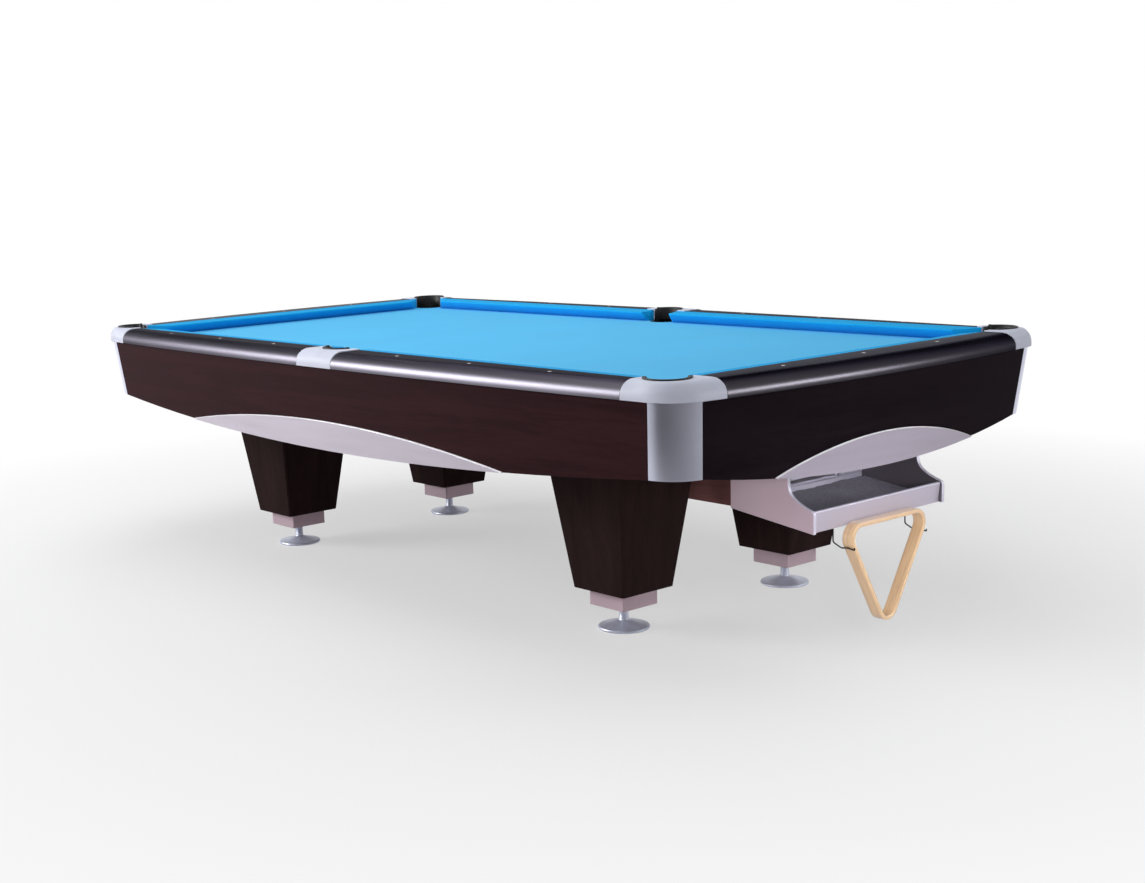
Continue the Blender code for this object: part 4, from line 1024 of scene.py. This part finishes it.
class FinishCabinet(bpy.types.Operator):
    """Finishes the rails, castings, aprons, panels, legs, chute, slates and frame"""

    bl_idname = "pool_table.cabinet"
    bl_label = "Cabinet"

    def execute(self, context):
        c = colours()
        places = [side + "_" + end for side in SIDES for end in ENDS]
        corners = [end + "_" + side for side in SIDES for end in ENDS]
        cast = satin("cast_silver", c.silver, (0.50, 0.60), {"Specular IOR Level": 0.25})
        caps = [p + "_corner_cap" for p in places] + [side + "_side_cap" for side in SIDES]
        finish_nodes(cast, 0.0012, caps)
        post = satin("post_metal", c.post, (0.275, 0.300), {"Metallic": 1.0})
        finish_nodes(post, 0.0008, [p + "_corner_post" for p in places])
        self.runs(places)
        legs = veneer("leg_veneer", c.leg, (6.0, 6.0, 0.5), gloss=0.008)
        finish_nodes(legs, 0.0, [p + "_leg" for p in corners])
        plinths = satin("plinth_paint", c.plinth, (0.4, 0.5), {"Metallic": 0.1})
        finish_nodes(plinths, 0.0015, [p + "_plinth" for p in corners])
        self.chute()
        slate = finish(
            "bed_slate", "mottle", c.slate, (1.2, 0.8), {"Cloud": 4.0, "Tooth": 300.0},
            (0.6, 0.75), (0.3, 0.0005),
        )
        for name in SLATES:
            NODES[name].material_slots[0].link = "OBJECT"
            NODES[name].material_slots[0].material = slate
        return {"FINISHED"}

    def runs(self, places):
        """Finishes what runs along the sides and the ends, with its pattern drawn out that way.

        The rails are metal whose edge tint darkens them where they are seen at a low angle.
        """
        c = colours()
        runs = {
            "side": Run(
                names=SIDES, spans=places, stretch=(0.35, 6.0, 6.0), wood=c.mahogany, gloss=0.022,
                rail=c.rail, rough=(0.37, 0.43), tint=0.14, lens=c.pewter,
            ),
            # The end run takes darker tones than the side run for its veneer, rails and lens panels,
            # as painted shade.
            "end": Run(
                names=ENDS, spans=ENDS, stretch=(6.0, 0.35, 6.0), wood=c.end_veneer_painted_shade, gloss=0.008,
                rail=c.end_rail_painted_shade, rough=(0.27, 0.31), tint=0.21, lens=c.end_lens_painted_shade,
            ),
        }
        # The lens panels' upward faces get a lighter, polished finish: the lighter tone is a painted
        # highlight.
        bright = satin("lens_edge_painted_highlight", c.bright, (0.16, 0.24), {"Metallic": 0.3})
        for key, run in runs.items():
            metal = {"Metallic": 1.0, "Specular Tint": (run.tint, run.tint, 1.2 * run.tint, 1.0)}
            charcoal = satin("rail_charcoal_" + key, run.rail, run.rough, metal, run.stretch)
            finish_nodes(charcoal, 0.0008, [n + "_rail" for n in run.spans])
            wood = veneer("apron_veneer_" + key, run.wood, run.stretch, gloss=run.gloss)
            finish_nodes(wood, 0.0015, [n + "_apron" for n in run.names])
            sheen = {"Metallic": 0.2}
            lens = satin("lens_satin_" + key, run.lens, (0.36, 0.46), sheen, run.stretch)
            for name in run.names:
                paint_top_highlight(finished_copy(name + "_accent_panel", lens, 0.0008), bright)
            beam = finish(
                "frame_timber_" + key, "grain", c.timber, (1.25, 0.75),
                {"Figure": 4.0, "Pores": 50.0}, (0.6, 0.75), (0.3, 0.0006), run.stretch,
            )
            finish_nodes(beam, 0.002, [n + "_frame_beam" for n in run.names])

    def chute(self):
        """Finishes the return chute, with its floor and its end in the ball box's tone."""
        c = colours()
        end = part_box("return_chute")[1]
        level = box_lines().rear + sizes().box_sill + CHUTE_STEP
        floor = (level - CHUTE_WALL + SKIN, level + SKIN)
        timber = veneer("chute_timber", c.chute, (0.5, 6.0, 6.0), (0.5, 0.65))
        lined(timber, c.box, Z=floor, Y=(FROM_MIDDLE, end.y - CHUTE_WALL + SKIN))
        lined(timber, c.box, X=(end.x - SKIN, TO_END))
        finish_nodes(timber, 0.001, ["return_chute"])


# Stage.


def lamp(name, place, aim, size, power, scattered=True, mirrored=True, spread=180.0):
    """A rectangular soft light at a place, turned to a point, for scattered light, gloss or both.

    spread is the angle in degrees that its light fills.
    """
    data = bpy.data.lights.new(name, "AREA")
    data.shape = "RECTANGLE"
    data.size, data.size_y = size
    data.energy = power
    data.spread = math.radians(spread)
    light = bpy.data.objects.new(name, data)
    light.location = place
    light.visible_diffuse, light.visible_glossy = scattered, mirrored
    light.rotation_euler = (Vector(aim) - Vector(place)).to_track_quat("-Z", "Y").to_euler()
    bpy.context.scene.collection.objects.link(light)


def stage_mesh(name, finish_name, points, faces):
    """A mesh of the stage as an object, and its new material's node tree."""
    mesh = bpy.data.meshes.new(name)
    mesh.from_pydata(points.reshape(-1, 3).tolist(), [], faces.tolist())
    item = bpy.data.objects.new(name, mesh)
    bpy.context.scene.collection.objects.link(item)
    material = bpy.data.materials.new(finish_name)
    material.use_nodes = True
    mesh.materials.append(material)
    return item, material.node_tree


def seen(tree):
    """1 for what the camera sees, straight on, mirrored or through glass, 0 for scattered light."""
    path = add(tree, "ShaderNodeLightPath").outputs
    clear = calc(tree, "MAXIMUM", path["Is Glossy Ray"], path["Is Transmission Ray"])
    return calc(tree, "MAXIMUM", path["Is Camera Ray"], clear)


class SetStage(bpy.types.Operator):
    """Sets the floor, the light and the camera"""

    bl_idname = "pool_table.stage"
    bl_label = "Stage"

    def execute(self, context):
        scene = context.scene
        self.floor(scene.pool_table_stage)
        self.screen()
        self.light(scene)
        self.camera(scene, scene.pool_table_stage)
        scene.view_settings.view_transform = "Standard"
        return {"FINISHED"}

    def floor(self, stage):
        """A wide floor in its own colour, which fades to white away from the table."""
        reach, drop = 30.0, 0.0005
        near, far, least = 1.4, 3.4, 0.5  # the fade's start and end, and its share at the start
        bounce = (0.66, 0.60, 0.62, 1.0)  # the warmer tone that scattered light takes from it
        span = np.linspace(-reach, reach, 5)
        points = grid(span[None, :], span[:, None], -drop)
        _, tree = stage_mesh("floor", "floor_pale", points, quads(5, 5))
        shader = tree.nodes["Principled BSDF"]
        shown = seen(tree)
        tone = blend(tree, shown, bounce, rgba(stage.floor))
        put(tree, shader, {"Base Color": tone, "Roughness": 1.0, "Specular IOR Level": 0.0})
        place = add(tree, "ShaderNodeTexCoord").outputs["Object"]
        away = add(tree, "ShaderNodeVectorMath", {0: place}, operation="LENGTH").outputs["Value"]
        fade = calc(tree, "MULTIPLY", remap(tree, away, near, far, least, 1.0), shown)
        white = add(tree, "ShaderNodeEmission").outputs[0]
        both = add(tree, "ShaderNodeMixShader", {0: fade, 1: shader.outputs[0], 2: white})
        put(tree, tree.nodes["Material Output"], {"Surface": both.outputs[0]})

    def screen(self):
        """A low curved screen round the foot end that only gloss shows, darkest at one bearing."""
        radius, height = 2.2, 0.8
        brightest, dimmest = 1.75, 0.02  # strength at the start and at the dark bearing
        start, dark, light, end = np.radians((-135.0, -58.0, -54.0, 80.0)).tolist()
        bearing = np.linspace(start, end, 44)
        line = arc_points((0.0, 0.0), radius, bearing)
        points = grid(*line.T, np.array([[0.0], [height]]))
        screen, tree = stage_mesh("screen", "screen_grey", points, quads(2, len(bearing)))
        for ray in ("camera", "diffuse", "transmission", "volume_scatter", "shadow"):
            setattr(screen, "visible_" + ray, False)
        place = add(tree, "ShaderNodeTexCoord").outputs["Object"]
        x, y, _ = add(tree, "ShaderNodeSeparateXYZ", {"Vector": place}).outputs
        turn = calc(tree, "ARCTAN2", y, x)
        left = remap(tree, turn, start, dark, brightest, dimmest)
        right = remap(tree, turn, light, end, 0.0, 1.0)
        glow = add(tree, "ShaderNodeEmission", {"Strength": calc(tree, "ADD", left, right)})
        put(tree, tree.nodes["Material Output"], {"Surface": glow.outputs[0]})

    def light(self, scene):
        """A white room, and soft lights over the bed, from the head's right and at the foot end.

        Two of them are for gloss alone and draw the highlights along the rails, and a narrow one
        lifts the ball box.
        """
        ambient = 0.40  # the room's share in scattered light
        world = bpy.data.worlds.new("room")
        scene.world = world
        world.use_nodes = True
        tree = world.node_tree
        strength = remap(tree, seen(tree), 0.0, 1.0, ambient, 1.0)
        white = (1.0, 1.0, 1.0, 1.0)
        put(tree, tree.nodes["Background"], {"Color": white, "Strength": strength})
        side, foot, box = (0.2, -0.5, 0.55), (1.4, 0.0, 0.45), (1.40, 0.0, 0.30)  # points aimed at
        lamp("over_bed", (-0.5, -0.3, 3.2), (0.0, 0.0, 0.0), (3.6, 2.0), 36.5)
        lamp("key", (-4.66, -5.5, 2.91), side, (3.5, 2.2), 273.0, mirrored=False)
        lamp("rail_strip", (-3.4, -4.2, 2.3), side, (2.6, 1.6), 590.0, scattered=False)
        lamp("foot_end", (4.6, 2.2, 1.5), foot, (1.6, 1.2), 15.0)
        lamp("foot_gloss", (4.6, 2.5, 1.5), foot, (2.0, 0.7), 90.0, scattered=False)
        lamp("box_fill", (3.05, -1.2, 0.80), box, (0.8, 0.5), 1.6, mirrored=False, spread=40.0)

    def camera(self, scene, stage):
        """A camera turned by yaw, pitch and roll, with the frame shifted."""
        yaw, pitch, roll = stage.yaw, stage.pitch, stage.roll
        flat = math.cos(pitch)
        ahead = Vector((-math.sin(yaw) * flat, math.cos(yaw) * flat, -math.sin(pitch)))
        level = Vector((math.cos(yaw), math.sin(yaw), 0.0))
        up = level.cross(ahead)
        right = level * math.cos(roll) + up * math.sin(roll)
        top = up * math.cos(roll) - level * math.sin(roll)
        data = bpy.data.cameras.new("camera")
        data.lens, data.sensor_width = stage.lens, 36.0
        data.shift_x, data.shift_y = stage.shift_x, stage.shift_y
        data.clip_end = 200.0
        camera = bpy.data.objects.new("camera", data)
        turn = Matrix((right, top, -ahead)).transposed().to_4x4()
        camera.matrix_world = Matrix.Translation(stage.place) @ turn
        scene.collection.objects.link(camera)
        scene.camera = camera


STEPS = (
    DressCloth, DressPockets, SetSights, BuildBallBox, LayCarpet, HangRack, MakeFeet, FinishCabinet,
    SetStage,
)


class TablePanel(bpy.types.Panel):
    """Lists the dressing steps and their settings"""

    bl_idname = "VIEW3D_PT_pool_table"
    bl_label = "Pool Table"
    bl_space_type = "VIEW_3D"
    bl_region_type = "UI"
    bl_category = "Pool Table"

    def draw(self, context):
        for step in STEPS:
            self.layout.operator(step.bl_idname)
        for settings in (sizes(), colours(), context.scene.pool_table_stage):
            column = self.layout.column()
            for name in settings.__annotations__:
                column.prop(settings, name)


CLASSES = (TableSizes, TableColours, StageSettings, *STEPS, TablePanel)


def register():
    """Registers the classes and their settings."""
    for item in CLASSES:
        bpy.utils.register_class(item)
    bpy.types.Scene.pool_table_sizes = PointerProperty(type=TableSizes)
    bpy.types.Scene.pool_table_colours = PointerProperty(type=TableColours)
    bpy.types.Scene.pool_table_stage = PointerProperty(type=StageSettings)


def unregister():
    """Takes the settings and the classes away again."""
    del bpy.types.Scene.pool_table_stage
    del bpy.types.Scene.pool_table_colours
    del bpy.types.Scene.pool_table_sizes
    for item in reversed(CLASSES):
        bpy.utils.unregister_class(item)


def main():
    """Dresses the table step by step."""
    register()
    for step in STEPS:
        group, name = step.bl_idname.split(".")
        getattr(getattr(bpy.ops, group), name)()


if __name__ == "__main__":
    main()
